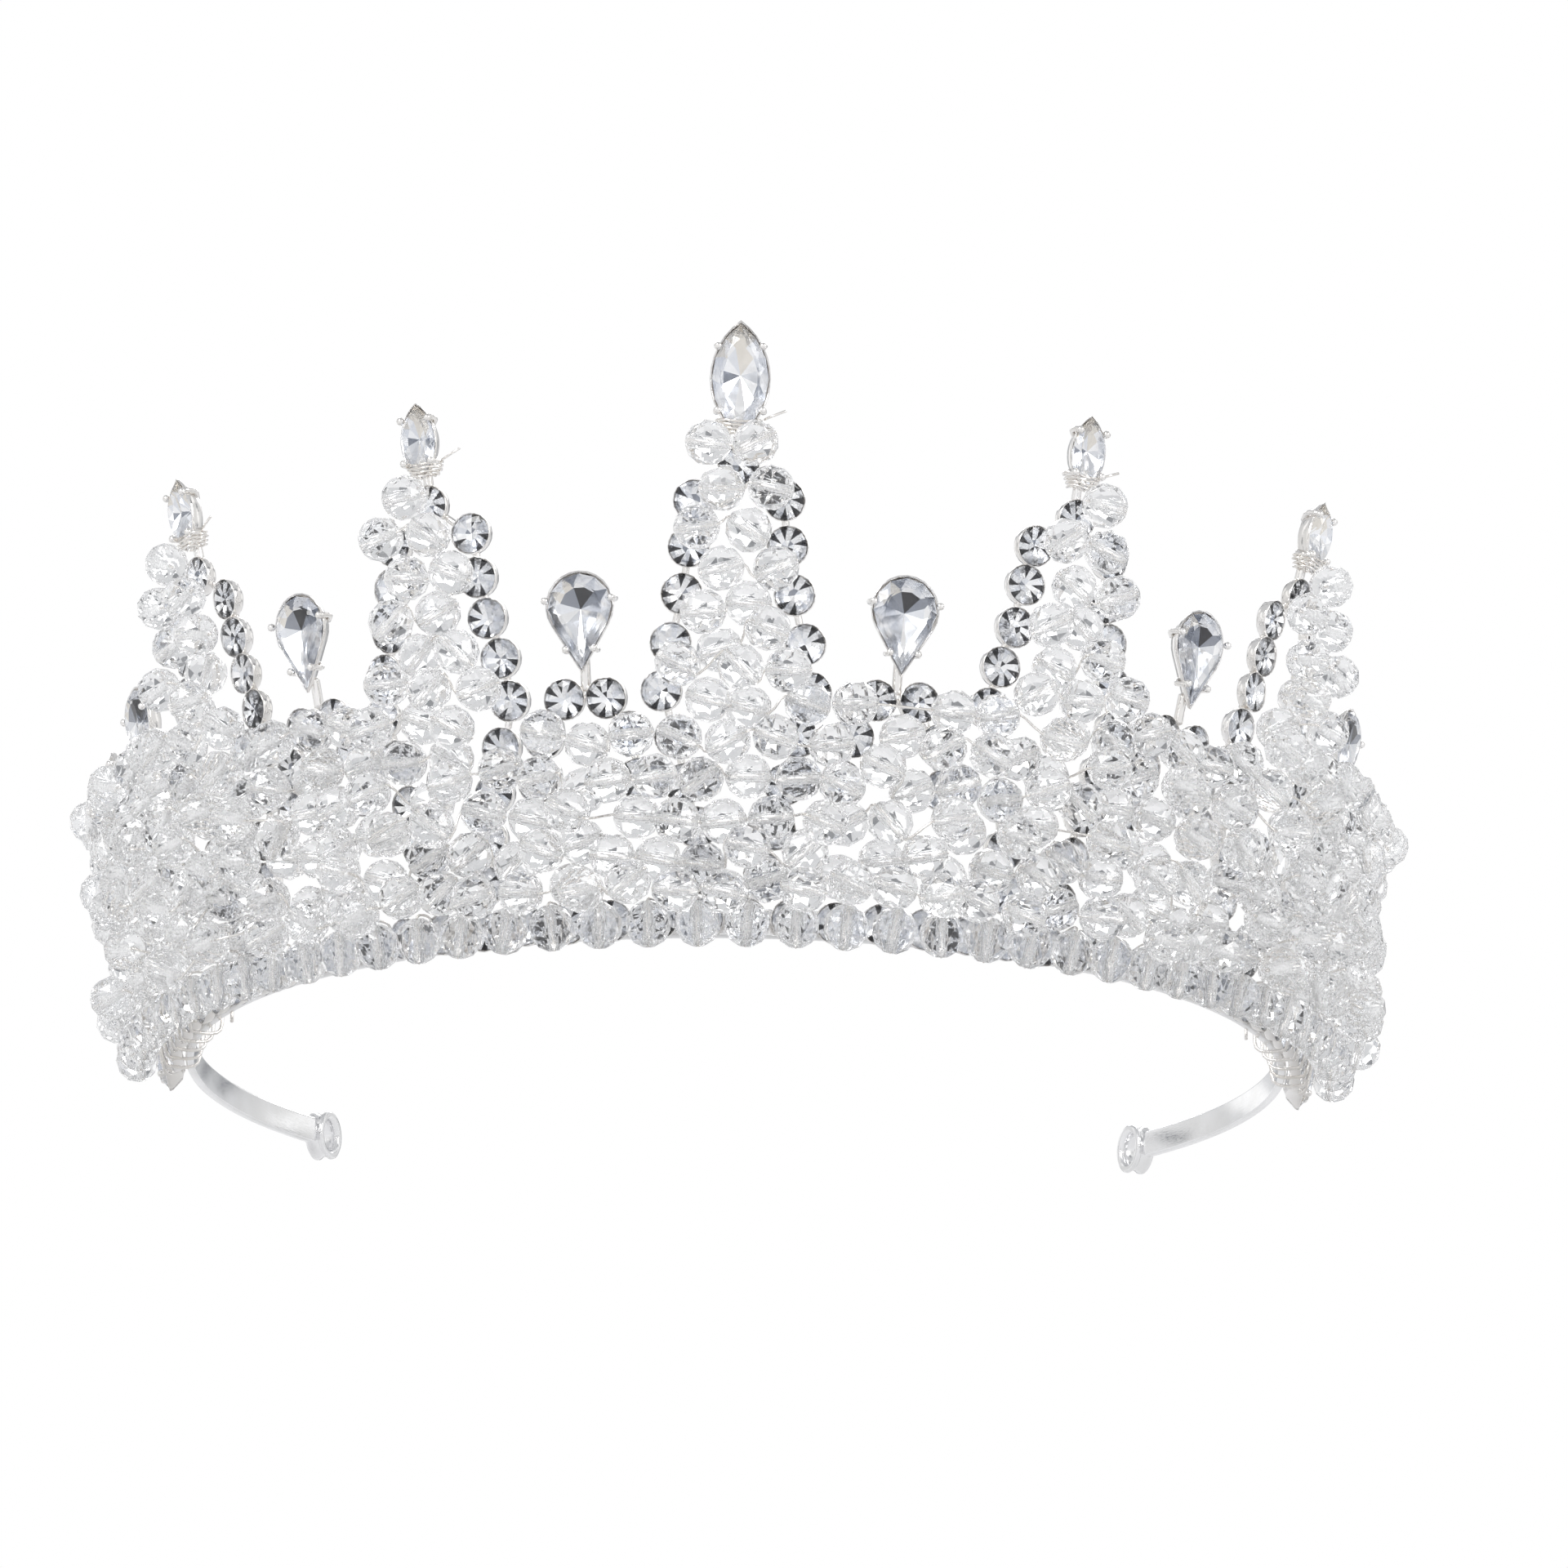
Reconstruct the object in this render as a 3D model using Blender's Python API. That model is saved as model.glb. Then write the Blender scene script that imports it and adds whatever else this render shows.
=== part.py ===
"""Bridal tiara: a sprung headband with eyelet ends, soldered chains of stone-set cups that rise
into five spires and eight lower crests, claw-set marquise and pear stones, and round faceted
glass beads threaded over the whole front.

Lengths are in millimetres until a mesh is made. Three coordinates place everything on the wall:
phi, the angle round the head with 0 at the front; v, up the flared wall from the lower edge of
the headband; and w, outwards from the headband's middle.
"""

import math

import bmesh
import bpy
import numpy as np
from mathutils import Matrix, Vector

MM = 0.001

# Headband
HALF_WIDTH = 64.0
HALF_DEPTH = 67.0
FLARE = math.radians(12.0)
BAND_END = 126.0
BAND_HEIGHT = 3.2
BAND_LIFT = 0.4
BAND_THICKNESS = 1.0
BAND_CHAMFER = 0.25
BAND_STEPS = 36

# Eyelets
EYELET_RADIUS = 3.0
EYELET_HOLE = 1.85
EYELET_DEPTH = 2.4
EYELET_TURN = math.radians(12.0)
EYELET_SIDES = 18
SOLDER_GAP = 0.3

# Stone-set cups
CUP_RADIUS = 2.3
CUP_SIDES = 8
CUP_BACK = 0.8
CUP_RIM = 2.2
CUP_POINT = 2.6
BASE_CUP_HEIGHT = 2.3
BASE_CUP_PITCH = 4.2
BASE_CUPS = 43
BASE_SEGMENTS = 5

# Stations round the front: spires at even numbers, lower crests at odd numbers and at the ends.
# The stations are spaced by hand, so STATION_SHIFT holds those that stand off the even pitch.
STATION_PITCH = 13.75
STATION_SHIFT = {-4: 0.6, -1: -0.6, 0: -1.2, 1: -1.0, 3: 0.3}

# The lower and upper tip of each station's claw-set stone, and the top pair of cups in a crest
SPIRE_STONES = {0: (54.4, 66.4), 2: (52.0, 60.0), 4: (51.2, 59.2)}
CREST_STONES = {1: (29.4, 39.9), 3: (31.5, 42.0), 5: (29.4, 39.9), 6: (29.4, 37.2)}
CREST_HEAD = 27.7

# Cups up each side of a spire as (half-width, height), and down each side of a crest as
# (half-width, drop from its head)
SPIRE_CUPS = [(3.2, 7.2), (4.3, 12.0), (5.3, 16.8), (6.6, 21.8), (8.0, 26.8)]
CREST_CUPS = [(2.45, 0.0), (4.7, 4.1), (5.6, 8.9)]

# Claw settings
PLATE_BACK = 0.9
PLATE_FRONT = 1.6
STONE_BACK = 1.9
STONE_GIRDLE = 2.9
STONE_TABLE = 4.1
STONE_BACK_SCALE = 0.7
STONE_TABLE_SCALE = 0.5
PRONG_REACH = 0.5
PRONG_HALF = 0.35
PRONG_TOP = 3.7

# Glass beads: the hem row, then rows that climb the band from it
BEAD_RADIUS = 2.5
HEM_HEIGHT = 1.7
HEM_PITCH = 4.35
HEM_BEADS = 41
HEM_SEGMENTS = 5
BAND_ROWS = 7
ROW_BEADS = 47
BEAD_PITCH = 3.6
BEAD_ROW = 3.68

# The last band row is left open over the front. OPENINGS are the other gaps in the rows, as
# (row, place from the left end).
TOP_ROW_START = 60.0
OPENINGS = {(3, 20), (5, 17), (5, 18), (5, 26), (6, 26), (6, 27)} | {(6, k) for k in range(17, 22)}

# How the threaded beads settle. Each row is shaken, then pushed apart to BEAD_CLEARANCE. A bead
# lies at BEAD_REACH over a cup, sinks as far as BEAD_SINK between cups, and keeps its middle
# BEAD_OFF_CUP from a cup's rim.
BEAD_SEED = 8
BEAD_SHAKE = (0.5, 0.4, 1.4)
BEAD_CLEARANCE = 5.1
BEAD_REACH = 5.35
BEAD_NEST = 0.8
BEAD_SINK = 3.4
BEAD_OFF_CUP = 3.0

# Pairs of beads up each spire, as (how many pairs, their pitch). One of a pair lies deeper than
# the other, and the pairs sway from side to side.
COLUMNS = {0: (6, 4.1), 2: (4, 4.5), 4: (4, 4.4)}
COLUMN_HALF = 2.35
COLUMN_DEPTH = 1.2
COLUMN_SWAY = 0.6

# Binding wire and hanging stone at each end
WIRE_RADIUS = 0.18
BIND_START = 66.0
BIND_END = 88.0
BIND_TURNS = 6
END_DROP = 92.5
END_DROP_HEIGHT = 3.2

SIDES = {-1: "left", 1: "right"}

# Looks as (colour, metallic, roughness)
SILVER = ((0.86, 0.86, 0.87, 1.0), 1.0, 0.18)
CRYSTAL = ((0.93, 0.95, 0.97, 1.0), 0.0, 0.05)


# The wall


def speed(phi):
    """How fast the headband's centreline moves, in mm per radian."""
    return math.hypot(HALF_WIDTH * math.cos(phi), HALF_DEPTH * math.sin(phi))


def wall_axes(phi):
    """Unit vectors at phi: along the band, up the flared wall, and out of it."""
    along = np.array([HALF_WIDTH * math.cos(phi), HALF_DEPTH * math.sin(phi), 0.0])
    along /= np.linalg.norm(along)
    level = np.array([along[1], -along[0], 0.0])
    up = math.sin(FLARE) * level + math.cos(FLARE) * np.array([0.0, 0.0, 1.0])
    return along, up, np.cross(along, up)


def band_point(phi):
    return np.array([HALF_WIDTH * math.sin(phi), -HALF_DEPTH * math.cos(phi), 0.0])


def wall_point(phi, v, w):
    _, up, out = wall_axes(phi)
    return band_point(phi) + v * up + w * out


def beside(phi, u, v, w):
    """The angle that lies u mm along the wall from phi, at height v and reach w."""
    return phi + u / (speed(phi) + v * math.sin(FLARE) + w)


# Objects


def metres(point):
    return Vector(point) * MM


def placed(origin, x, y, z):
    """The matrix of a frame with these axes and an origin in millimetres."""
    return Matrix.Translation(metres(origin)) @ Matrix((x, y, z)).transposed().to_4x4()


def wall_frame(phi, v, w):
    """A frame on the wall: x along the band, y up the wall, z out of it."""
    return placed(wall_point(phi, v, w), *wall_axes(phi))


def adopt(made, look, frame):
    """Gives an object its own material and seats it in its frame under the tiara's empty."""
    colour, metallic, roughness = look
    material = bpy.data.materials.new(made.name)
    material.use_nodes = True
    shader = material.node_tree.nodes["Principled BSDF"]
    shader.inputs["Base Color"].default_value = colour
    shader.inputs["Metallic"].default_value = metallic
    shader.inputs["Roughness"].default_value = roughness
    made.data.materials.append(material)
    bpy.context.scene.collection.objects.link(made)
    made.parent = bpy.data.objects["tiara"]
    made.matrix_local = frame


def finish(name, shell, look, frame, smooth=None):
    """One named object from a bmesh in its frame's own metres. smooth is a sharpness angle."""
    bmesh.ops.recalc_face_normals(shell, faces=shell.faces)
    mesh = bpy.data.meshes.new(name)
    shell.to_mesh(mesh)
    shell.free()
    if smooth:
        mesh.shade_smooth()
        mesh.set_sharp_from_angle(angle=math.radians(smooth))
    adopt(bpy.data.objects.new(name, mesh), look, frame)


def finish_on_wall(name, shell, look, frame, smooth=None):
    """The same for a bmesh that was made where it stands on the wall."""
    bmesh.ops.transform(shell, matrix=frame.inverted(), verts=shell.verts)
    finish(name, shell, look, frame, smooth)


def base_face(shell, points):
    """A face to extrude from. Its copy stays behind and closes the solid."""
    face = shell.faces.new([shell.verts.new(p) for p in points])
    face.copy(verts=False, edges=False)
    return face


def extruded(shell, face, offset, scale=1.0):
    """Moves a face by offset, scaled about its middle, and walls in the way it came."""
    end = bmesh.ops.extrude_discrete_faces(shell, faces=[face])["faces"][0]
    bmesh.ops.translate(shell, vec=offset, verts=end.verts)
    middle = Matrix.Translation(-end.calc_center_median())
    bmesh.ops.scale(shell, vec=(scale, scale, scale), space=middle, verts=end.verts)
    return end


def bridge(shell, one, other):
    """Opens two faces that look at each other and joins their edges by a bar."""
    edges = [*one.edges, *other.edges]
    bmesh.ops.delete(shell, geom=[one, other], context="FACES_ONLY")
    bmesh.ops.bridge_loops(shell, edges=edges)


# Headband and eyelets


def headband():
    """A chamfered section carried round the head, one step at a time."""
    half, c = BAND_THICKNESS / 2, BAND_CHAMFER
    low, high = BAND_LIFT, BAND_LIFT + BAND_HEIGHT
    section = [
        (half, low + c),
        (half, high - c),
        (half - c, high),
        (c - half, high),
        (-half, high - c),
        (-half, low + c),
        (c - half, low),
        (half - c, low),
    ]
    rings = []
    for phi in np.radians(np.linspace(-BAND_END, BAND_END, BAND_STEPS + 1)):
        along = wall_axes(phi)[0]
        level = np.array([along[1], -along[0], 0.0])
        rings.append([metres(band_point(phi) + w * level + (0, 0, z)) for w, z in section])
    shell = bmesh.new()
    end = base_face(shell, rings[0])
    for ring in rings[1:]:
        end = extruded(shell, end, Vector())
        for vertex, point in zip(end.verts, ring):
            vertex.co = point
    finish("headband", shell, SILVER, Matrix.Identity(4), smooth=40.0)


def eyelet(side):
    """A flat ring soldered to the band's end by its rim, its hole facing sideways."""
    phi = math.radians(side * BAND_END)
    along = wall_axes(phi)[0] * side
    turned = math.atan2(along[1], along[0]) - side * EYELET_TURN
    along = np.array([math.cos(turned), math.sin(turned), 0.0])
    axis = np.array([along[1], -along[0], 0.0])
    up = np.array([0.0, 0.0, 1.0])
    centre = band_point(phi) + (EYELET_RADIUS + SOLDER_GAP + 0.1) * along
    centre = centre + up * (BAND_LIFT + BAND_HEIGHT / 2)
    half = EYELET_DEPTH / 2
    section = [
        (EYELET_RADIUS - 0.3, half),
        (EYELET_RADIUS, half - 0.4),
        (EYELET_RADIUS, 0.4 - half),
        (EYELET_RADIUS - 0.3, -half),
        (EYELET_HOLE, -half),
        (EYELET_HOLE, half),
    ]
    shell = bmesh.new()
    ring = [shell.verts.new(metres((r, 0.0, a))) for r, a in section]
    edges = [shell.edges.new(pair) for pair in zip(ring, ring[1:] + ring[:1])]
    bmesh.ops.spin(
        shell,
        geom=ring + edges,
        cent=(0.0, 0.0, 0.0),
        axis=(0.0, 0.0, 1.0),
        angle=2 * math.pi,
        steps=EYELET_SIDES,
        use_merge=True,
    )
    frame = placed(centre, along, up, axis)
    finish("eyelet_" + SIDES[side], shell, SILVER, frame, smooth=50.0)


# Chains of cups and claw settings


class Plate:
    """A flat prism on the wall, and those of its side faces that carry no bar yet."""

    def __init__(self, frame, sides):
        self.frame = frame
        self.sides = sides
        self.centre = frame.translation

    def side_facing(self, target):
        """Takes the free side whose middle lies nearest to target."""
        side = min(self.sides, key=lambda f: (f.calc_center_median() - target).length)
        self.sides.remove(side)
        return side


def join(shell, one, other):
    bridge(shell, one.side_facing(other.centre), other.side_facing(one.centre))


def cup(shell, phi, v):
    """An eight-sided cup whose front rises to a low point, as the stone in it does."""
    frame = wall_frame(phi, v, (CUP_BACK + CUP_RIM) / 2)
    turn = Matrix.Rotation(math.pi / CUP_SIDES, 4, "Z")
    verts = bmesh.ops.create_cone(
        shell,
        cap_ends=True,
        segments=CUP_SIDES,
        radius1=CUP_RADIUS * MM,
        radius2=CUP_RADIUS * MM,
        depth=(CUP_RIM - CUP_BACK) * MM,
        matrix=frame @ turn,
    )["verts"]
    faces = list(dict.fromkeys(face for vert in verts for face in vert.link_faces))
    out = frame.col[2].to_3d()
    front = max(faces, key=lambda f: f.calc_center_median().dot(out))
    tip = bmesh.ops.poke(shell, faces=[front])["verts"]
    bmesh.ops.translate(shell, vec=out * (CUP_POINT - CUP_RIM) * MM, verts=tip)
    return Plate(frame, [f for f in faces if f.is_valid and len(f.verts) == 4])


def cup_chain(name, places):
    """Cups at the given places, each joined to the next."""
    shell = bmesh.new()
    cups = [cup(shell, phi, v) for phi, v in places]
    for one, other in zip(cups, cups[1:]):
        join(shell, one, other)
    frame = wall_frame(*places[len(places) // 2], 0.0)
    finish_on_wall(name, shell, SILVER, frame, smooth=50.0)


def base_cup_angles():
    return np.radians((np.arange(BASE_CUPS) - (BASE_CUPS - 1) / 2) * BASE_CUP_PITCH)


def base_chains():
    """The chain of cups along the headband, in lengths that meet end to end."""
    for i, group in enumerate(np.array_split(base_cup_angles(), BASE_SEGMENTS)):
        cup_chain(f"base_cup_chain_{i + 1}", [(phi, BASE_CUP_HEIGHT) for phi in group])


def back_plate(shell, phi, v, outline):
    """The plate of a claw setting, its side faces in the outline's order."""
    frame = wall_frame(phi, v, 0.0)
    back = base_face(shell, [frame @ metres((x, y, PLATE_BACK)) for x, y in outline])
    low = list(back.verts)
    out = frame.col[2].to_3d()
    extruded(shell, back, out * (PLATE_FRONT - PLATE_BACK) * MM)
    edges = [shell.edges.get(pair) for pair in zip(low, low[1:] + low[:1])]
    sides = [next(f for f in edge.link_faces if len(f.verts) == 4) for edge in edges]
    return Plate(frame, sides)


def claw(shell, plate, side):
    """One claw: a foot out from a side of the plate, a post up beside the stone, a round tip."""
    out = plate.frame.col[2].to_3d()
    middle = side.calc_center_median()
    runs = [edge.verts[1].co - edge.verts[0].co for edge in side.edges]
    reach = max((run.cross(out) for run in runs), key=lambda r: r.length).normalized()
    if reach.dot(middle - plate.centre) < 0:
        reach.negate()
    foot = extruded(shell, side, reach * PRONG_REACH * MM)
    around = [f for e in foot.edges for f in e.link_faces if f is not foot]
    top = max(around, key=lambda f: f.calc_center_median().dot(out))
    rise = (PRONG_TOP - PLATE_FRONT) * MM
    top = extruded(shell, top, out * (rise - 0.6 * MM))
    top = extruded(shell, top, out * 0.3 * MM, 1.5)
    extruded(shell, top, out * 0.3 * MM, 0.8 / 1.5)


def marquise_outline(length, width):
    """A pointed oval, tip up, its lower tip cut to a short flat. The claws sit on short sides."""
    half, waist = length / 2, width / 2
    arc = (half**2 + waist**2) / (2 * waist)
    claw = 0.55 * half
    heights = [-claw - PRONG_HALF, -claw + PRONG_HALF, 0.0, claw - PRONG_HALF, claw + PRONG_HALF]
    right = [(math.sqrt(arc**2 - y**2) - arc + waist, y) for y in heights]
    left = [(-x, y) for x, y in reversed(right)]
    foot = 0.12 * width
    outline = [(-foot, -half), (foot, -half)] + right + [(0.0, half)] + left
    claws = [2, 5, 8, 11]
    return outline, claws


def pear_outline(length, width):
    """A drop, round end up, its lower tip cut to a short flat."""
    radius = width / 2
    middle = length / 2 - radius
    tip = -length / 2
    rise = math.asin(radius / (middle - tip))
    shoulder = -rise
    span = PRONG_HALF / radius
    turns = [shoulder, 0.12 - span, 0.12 + span, 0.7, 1.2]
    round_right = [(radius * math.cos(t), middle + radius * math.sin(t)) for t in turns]
    foot = 0.08 * width
    low = np.array([foot, tip])
    high = np.array(round_right[0])
    run = (high - low) / np.linalg.norm(high - low)
    claw_low = tuple(low + run * (0.35 * length - PRONG_HALF))
    claw_high = tuple(low + run * (0.35 * length + PRONG_HALF))
    right = [tuple(low), claw_low, claw_high] + round_right
    left = [(-x, y) for x, y in reversed(right)]
    return right + [(0.0, length / 2)] + left, [1, 4, 11, 14]


def set_stone(name, phi, v, outline, shrink=0.93):
    """A faceted stone above its plate: flat back, girdle and table."""
    size = STONE_BACK_SCALE * shrink
    shell = bmesh.new()
    face = base_face(shell, [metres((size * x, size * y, STONE_BACK)) for x, y in outline])
    steps = (
        (STONE_GIRDLE - STONE_BACK, 1.0 / STONE_BACK_SCALE),
        (STONE_TABLE - STONE_GIRDLE, STONE_TABLE_SCALE),
    )
    for rise, scale in steps:
        face = extruded(shell, face, metres((0.0, 0.0, rise)))
        bmesh.ops.scale(shell, vec=(scale, scale, 1.0), verts=face.verts)
    finish(name, shell, CRYSTAL, wall_frame(phi, v, 0.0))


def station_angle(station):
    """Where a station stands: on the even pitch, but for what the maker's hand shifted it."""
    return math.radians(station * STATION_PITCH + STATION_SHIFT.get(station, 0.0))


def station_name(station):
    if station == 0:
        return "center"
    return f"{SIDES[1 if station > 0 else -1]}_{abs(station)}"


def spire_profile(apex):
    """Half-width and height of each cup up one side of a spire, below the cup at its apex."""
    shoulder = SPIRE_CUPS[-1][1]
    last = apex - 3.6
    steps = round((last - shoulder) / 5.0)
    heights = np.linspace(shoulder, last, steps + 1)[1:]
    return SPIRE_CUPS + [(4.7 + 2.5 * (1 - i / steps) ** 2, v) for i, v in enumerate(heights)]


def spire_frame(station):
    """Two chains of cups that lean together into one cup, under a claw-set marquise."""
    phi = station_angle(station)
    low, high = SPIRE_STONES[abs(station)]
    width = 6.2 if station == 0 else 4.2
    apex = low - 3.2
    shell = bmesh.new()
    top = cup(shell, phi, apex)
    for side in (-1, 1):
        above = top
        for half, v in reversed(spire_profile(apex)):
            each = cup(shell, beside(phi, side * half, v, CUP_RIM), v)
            join(shell, above, each)
            above = each
    outline, claws = marquise_outline(high - low, width)
    middle = (low + high) / 2
    plate = back_plate(shell, phi, middle, outline)
    for i in claws:
        claw(shell, plate, plate.sides[i])
    plate.sides = plate.sides[:1]
    join(shell, top, plate)
    name = station_name(station)
    frame = wall_frame(phi, 0.0, 0.0)
    finish_on_wall("spire_frame_" + name, shell, SILVER, frame, smooth=50.0)
    set_stone("marquise_stone_" + name, phi, middle, outline)


def crest_frame(station):
    """Two short falling chains of cups under a claw-set pear, or under a marquise at each end."""
    phi = station_angle(station)
    low, high = CREST_STONES[abs(station)]
    pear = abs(station) != 6
    shell = bmesh.new()
    head = min(low - 2.9, CREST_HEAD)
    tops = []
    for side in (-1, 1):
        above = None
        for half, drop in CREST_CUPS:
            v = head - drop
            each = cup(shell, beside(phi, side * half, v, CUP_RIM), v)
            if above is None:
                tops.append(each)
            else:
                join(shell, above, each)
            above = each
    join(shell, *tops)
    if pear:
        outline, claws = pear_outline(high - low, 7.2)
        foot = len(outline) - 1
    else:
        outline, claws = marquise_outline(high - low, 4.2)
        foot = 0
    middle = (low + high) / 2
    plate = back_plate(shell, phi, middle, outline)
    for i in claws:
        claw(shell, plate, plate.sides[i])
    plate.sides = [plate.sides[foot]]
    join(shell, tops[1], plate)
    name = station_name(station)
    frame = wall_frame(phi, 0.0, 0.0)
    finish_on_wall("crest_frame_" + name, shell, SILVER, frame, smooth=50.0)
    set_stone(("pear_stone_" if pear else "marquise_stone_") + name, phi, middle, outline)


# Glass beads


def bead_places():
    """Every bead as (row, phi, v, w). Row 0 is the hem. Rows past the band climb the spires."""
    places = []
    for row in range(BAND_ROWS + 1):
        count = ROW_BEADS + row % 2 if row else HEM_BEADS
        pitch = BEAD_PITCH if row else HEM_PITCH
        v = HEM_HEIGHT + row * BEAD_ROW
        for k in range(count):
            degrees = (k - (count - 1) / 2) * pitch
            left_open = row == BAND_ROWS and abs(degrees) < TOP_ROW_START
            nested = BEAD_NEST * (1 if abs(degrees) < TOP_ROW_START else 2)
            w = BEAD_REACH - nested if 1 < row < BAND_ROWS else BEAD_REACH
            if not left_open and (row, k) not in OPENINGS:
                places.append((row, math.radians(degrees), v, w))
    for station in (-4, -2, 0, 2, 4):
        phi = station_angle(station)
        v = HEM_HEIGHT + BAND_ROWS * BEAD_ROW
        for u in (-2 * COLUMN_HALF, 0.0, 2 * COLUMN_HALF):
            places.append((BAND_ROWS, beside(phi, u, v, BEAD_REACH), v, BEAD_REACH))
        rows, pitch = COLUMNS[abs(station)]
        for row in range(BAND_ROWS + 1, BAND_ROWS + 1 + rows):
            v += pitch
            sway = COLUMN_SWAY * (-1) ** row
            for side in (-1, 1):
                u = side * COLUMN_HALF + sway
                w = BEAD_REACH - BEAD_NEST + COLUMN_DEPTH * side * (-1) ** row
                places.append((row, beside(phi, u, v, w), v, w))
        if station != 0:
            u = math.copysign(COLUMN_HALF / 2, station)
            v += 0.8 * pitch
            last = BAND_ROWS + 1 + rows
            places.append((last, beside(phi, u, v, BEAD_REACH), v, BEAD_REACH))
    return places


def cup_places():
    """Every cup as (phi, v)."""
    places = [(phi, BASE_CUP_HEIGHT) for phi in base_cup_angles()]
    for station in range(-6, 7):
        phi = station_angle(station)
        if abs(station) in SPIRE_STONES:
            apex = SPIRE_STONES[abs(station)][0] - 3.2
            cups = [(0.0, apex)] + spire_profile(apex)
        else:
            head = min(CREST_STONES[abs(station)][0] - 2.9, CREST_HEAD)
            cups = [(half, head - drop) for half, drop in CREST_CUPS]
        for side in (-1, 1):
            places.extend((beside(phi, side * half, v, CUP_RIM), v) for half, v in cups)
    return places


def loosened(places, rng):
    """The beads' centres, shaken from their rows and then pushed off each other and the cups."""
    rows = np.array([p[0] for p in places])
    phis = np.array([p[1] for p in places])
    axes = [wall_axes(phi) for phi in phis]
    along = np.array([a[0] for a in axes])
    up = np.array([a[1] for a in axes])
    out = np.array([a[2] for a in axes])
    centres = np.array([wall_point(p[1], p[2], p[3]) for p in places])
    free = (rows > 0).astype(float)[:, None]
    shake = rng.uniform(-1, 1, (len(places), 3))
    for amount, axis, k in zip(BEAD_SHAKE, (along, up, out), range(3)):
        centres += free * amount * shake[:, k : k + 1] * axis
    end = np.clip((np.abs(np.degrees(phis)) - 52.0) / 10.0, 0.0, 1.0)
    least = BEAD_REACH + 0.55 * end * (rows == 0)
    sunk = (rows > 1) & (rows != BAND_ROWS) & (rows < BAND_ROWS + 3)
    least[sunk] = BEAD_SINK
    centres += (1 - free) * (least - BEAD_REACH)[:, None] * out
    seats = np.array([wall_point(p[1], p[2], 0.0) for p in places])
    cups = np.array([wall_point(phi, v, 0.0) for phi, v in cup_places()])
    faces = np.array([wall_axes(phi)[2] for phi, v in cup_places()])
    for _ in range(200):
        gaps = centres[:, None] - centres[None]
        apart = np.linalg.norm(gaps, axis=2) + np.eye(len(places)) * 100
        short = np.clip(BEAD_CLEARANCE + 0.02 - apart, 0, None)
        push = (gaps / apart[:, :, None] * short[:, :, None]).sum(axis=1) * 0.5
        centres += free * push
        reach = ((centres - seats) * out).sum(axis=1)
        centres += free * np.clip(least - reach, 0, None)[:, None] * out
        across = centres[:, None] - cups[None]
        height = (across * faces[None]).sum(axis=2)
        aside = np.linalg.norm(across - height[:, :, None] * faces[None], axis=2)
        over = BEAD_OFF_CUP**2 - np.clip(aside - CUP_RADIUS, 0.0, None) ** 2
        low = np.sqrt(np.clip(over, 0.0, None)) + CUP_RIM - height
        worst = np.argmax(np.where(over > 0, low, 0.0), axis=1)
        lift = np.where(over > 0, low, 0.0)[np.arange(len(places)), worst]
        centres += free * np.clip(lift, 0, None)[:, None] * faces[worst]
    return centres


def bead(shell, centre, aim):
    """A bead as a solid of twenty faces, one of them square to aim. Returns its faces."""
    verts = bmesh.ops.create_icosphere(shell, subdivisions=1, radius=BEAD_RADIUS * MM)["verts"]
    faces = list(dict.fromkeys(face for vert in verts for face in vert.link_faces))
    turn = faces[0].calc_center_median().rotation_difference(aim)
    matrix = Matrix.Translation(centre) @ turn.to_matrix().to_4x4()
    bmesh.ops.transform(shell, matrix=matrix, verts=verts)
    return faces


def bead_strand(name, centres, frame):
    """Beads in threading order, each joined to the next by a stub where the wire runs."""
    shell = bmesh.new()
    centres = [metres(centre) for centre in centres]
    aims = [other - one for one, other in zip(centres, centres[1:])]
    beads = [bead(shell, *each) for each in zip(centres, aims + aims[-1:])]
    for one, other, aim in zip(beads, beads[1:], aims):
        out = max(one, key=lambda f: f.calc_center_median().dot(aim))
        back = min(other, key=lambda f: f.calc_center_median().dot(aim))
        one.remove(out)
        other.remove(back)
        bridge(shell, out, back)
    finish_on_wall(name, shell, CRYSTAL, frame)


def bead_strands():
    """The hem row in lengths, and one strand to each station that winds up row by row."""
    rng = np.random.default_rng(BEAD_SEED)
    places = bead_places()
    centres = loosened(places, rng)
    hem = [i for i, p in enumerate(places) if p[0] == 0]
    hem.sort(key=lambda i: places[i][1])
    for k, group in enumerate(np.array_split(np.array(hem), HEM_SEGMENTS)):
        middle = places[group[len(group) // 2]][1]
        bead_strand(f"hem_beads_{k + 1}", centres[group], wall_frame(middle, 0.0, 0.0))
    for station in range(-6, 7):
        order = []
        top = max(p[0] for p in places)
        for row in range(1, top + 1):
            held = [
                i
                for i, p in enumerate(places)
                if p[0] == row and nearest_station(math.degrees(p[1])) == station
            ]
            held.sort(key=lambda i: places[i][1], reverse=row % 2 == 0)
            order.extend(held)
        frame = wall_frame(station_angle(station), 0.0, 0.0)
        bead_strand(f"bead_strand_{station_name(station)}", centres[order], frame)


def nearest_station(degrees):
    return int(np.clip(round(degrees / STATION_PITCH), -6, 6))


# Ends


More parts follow.
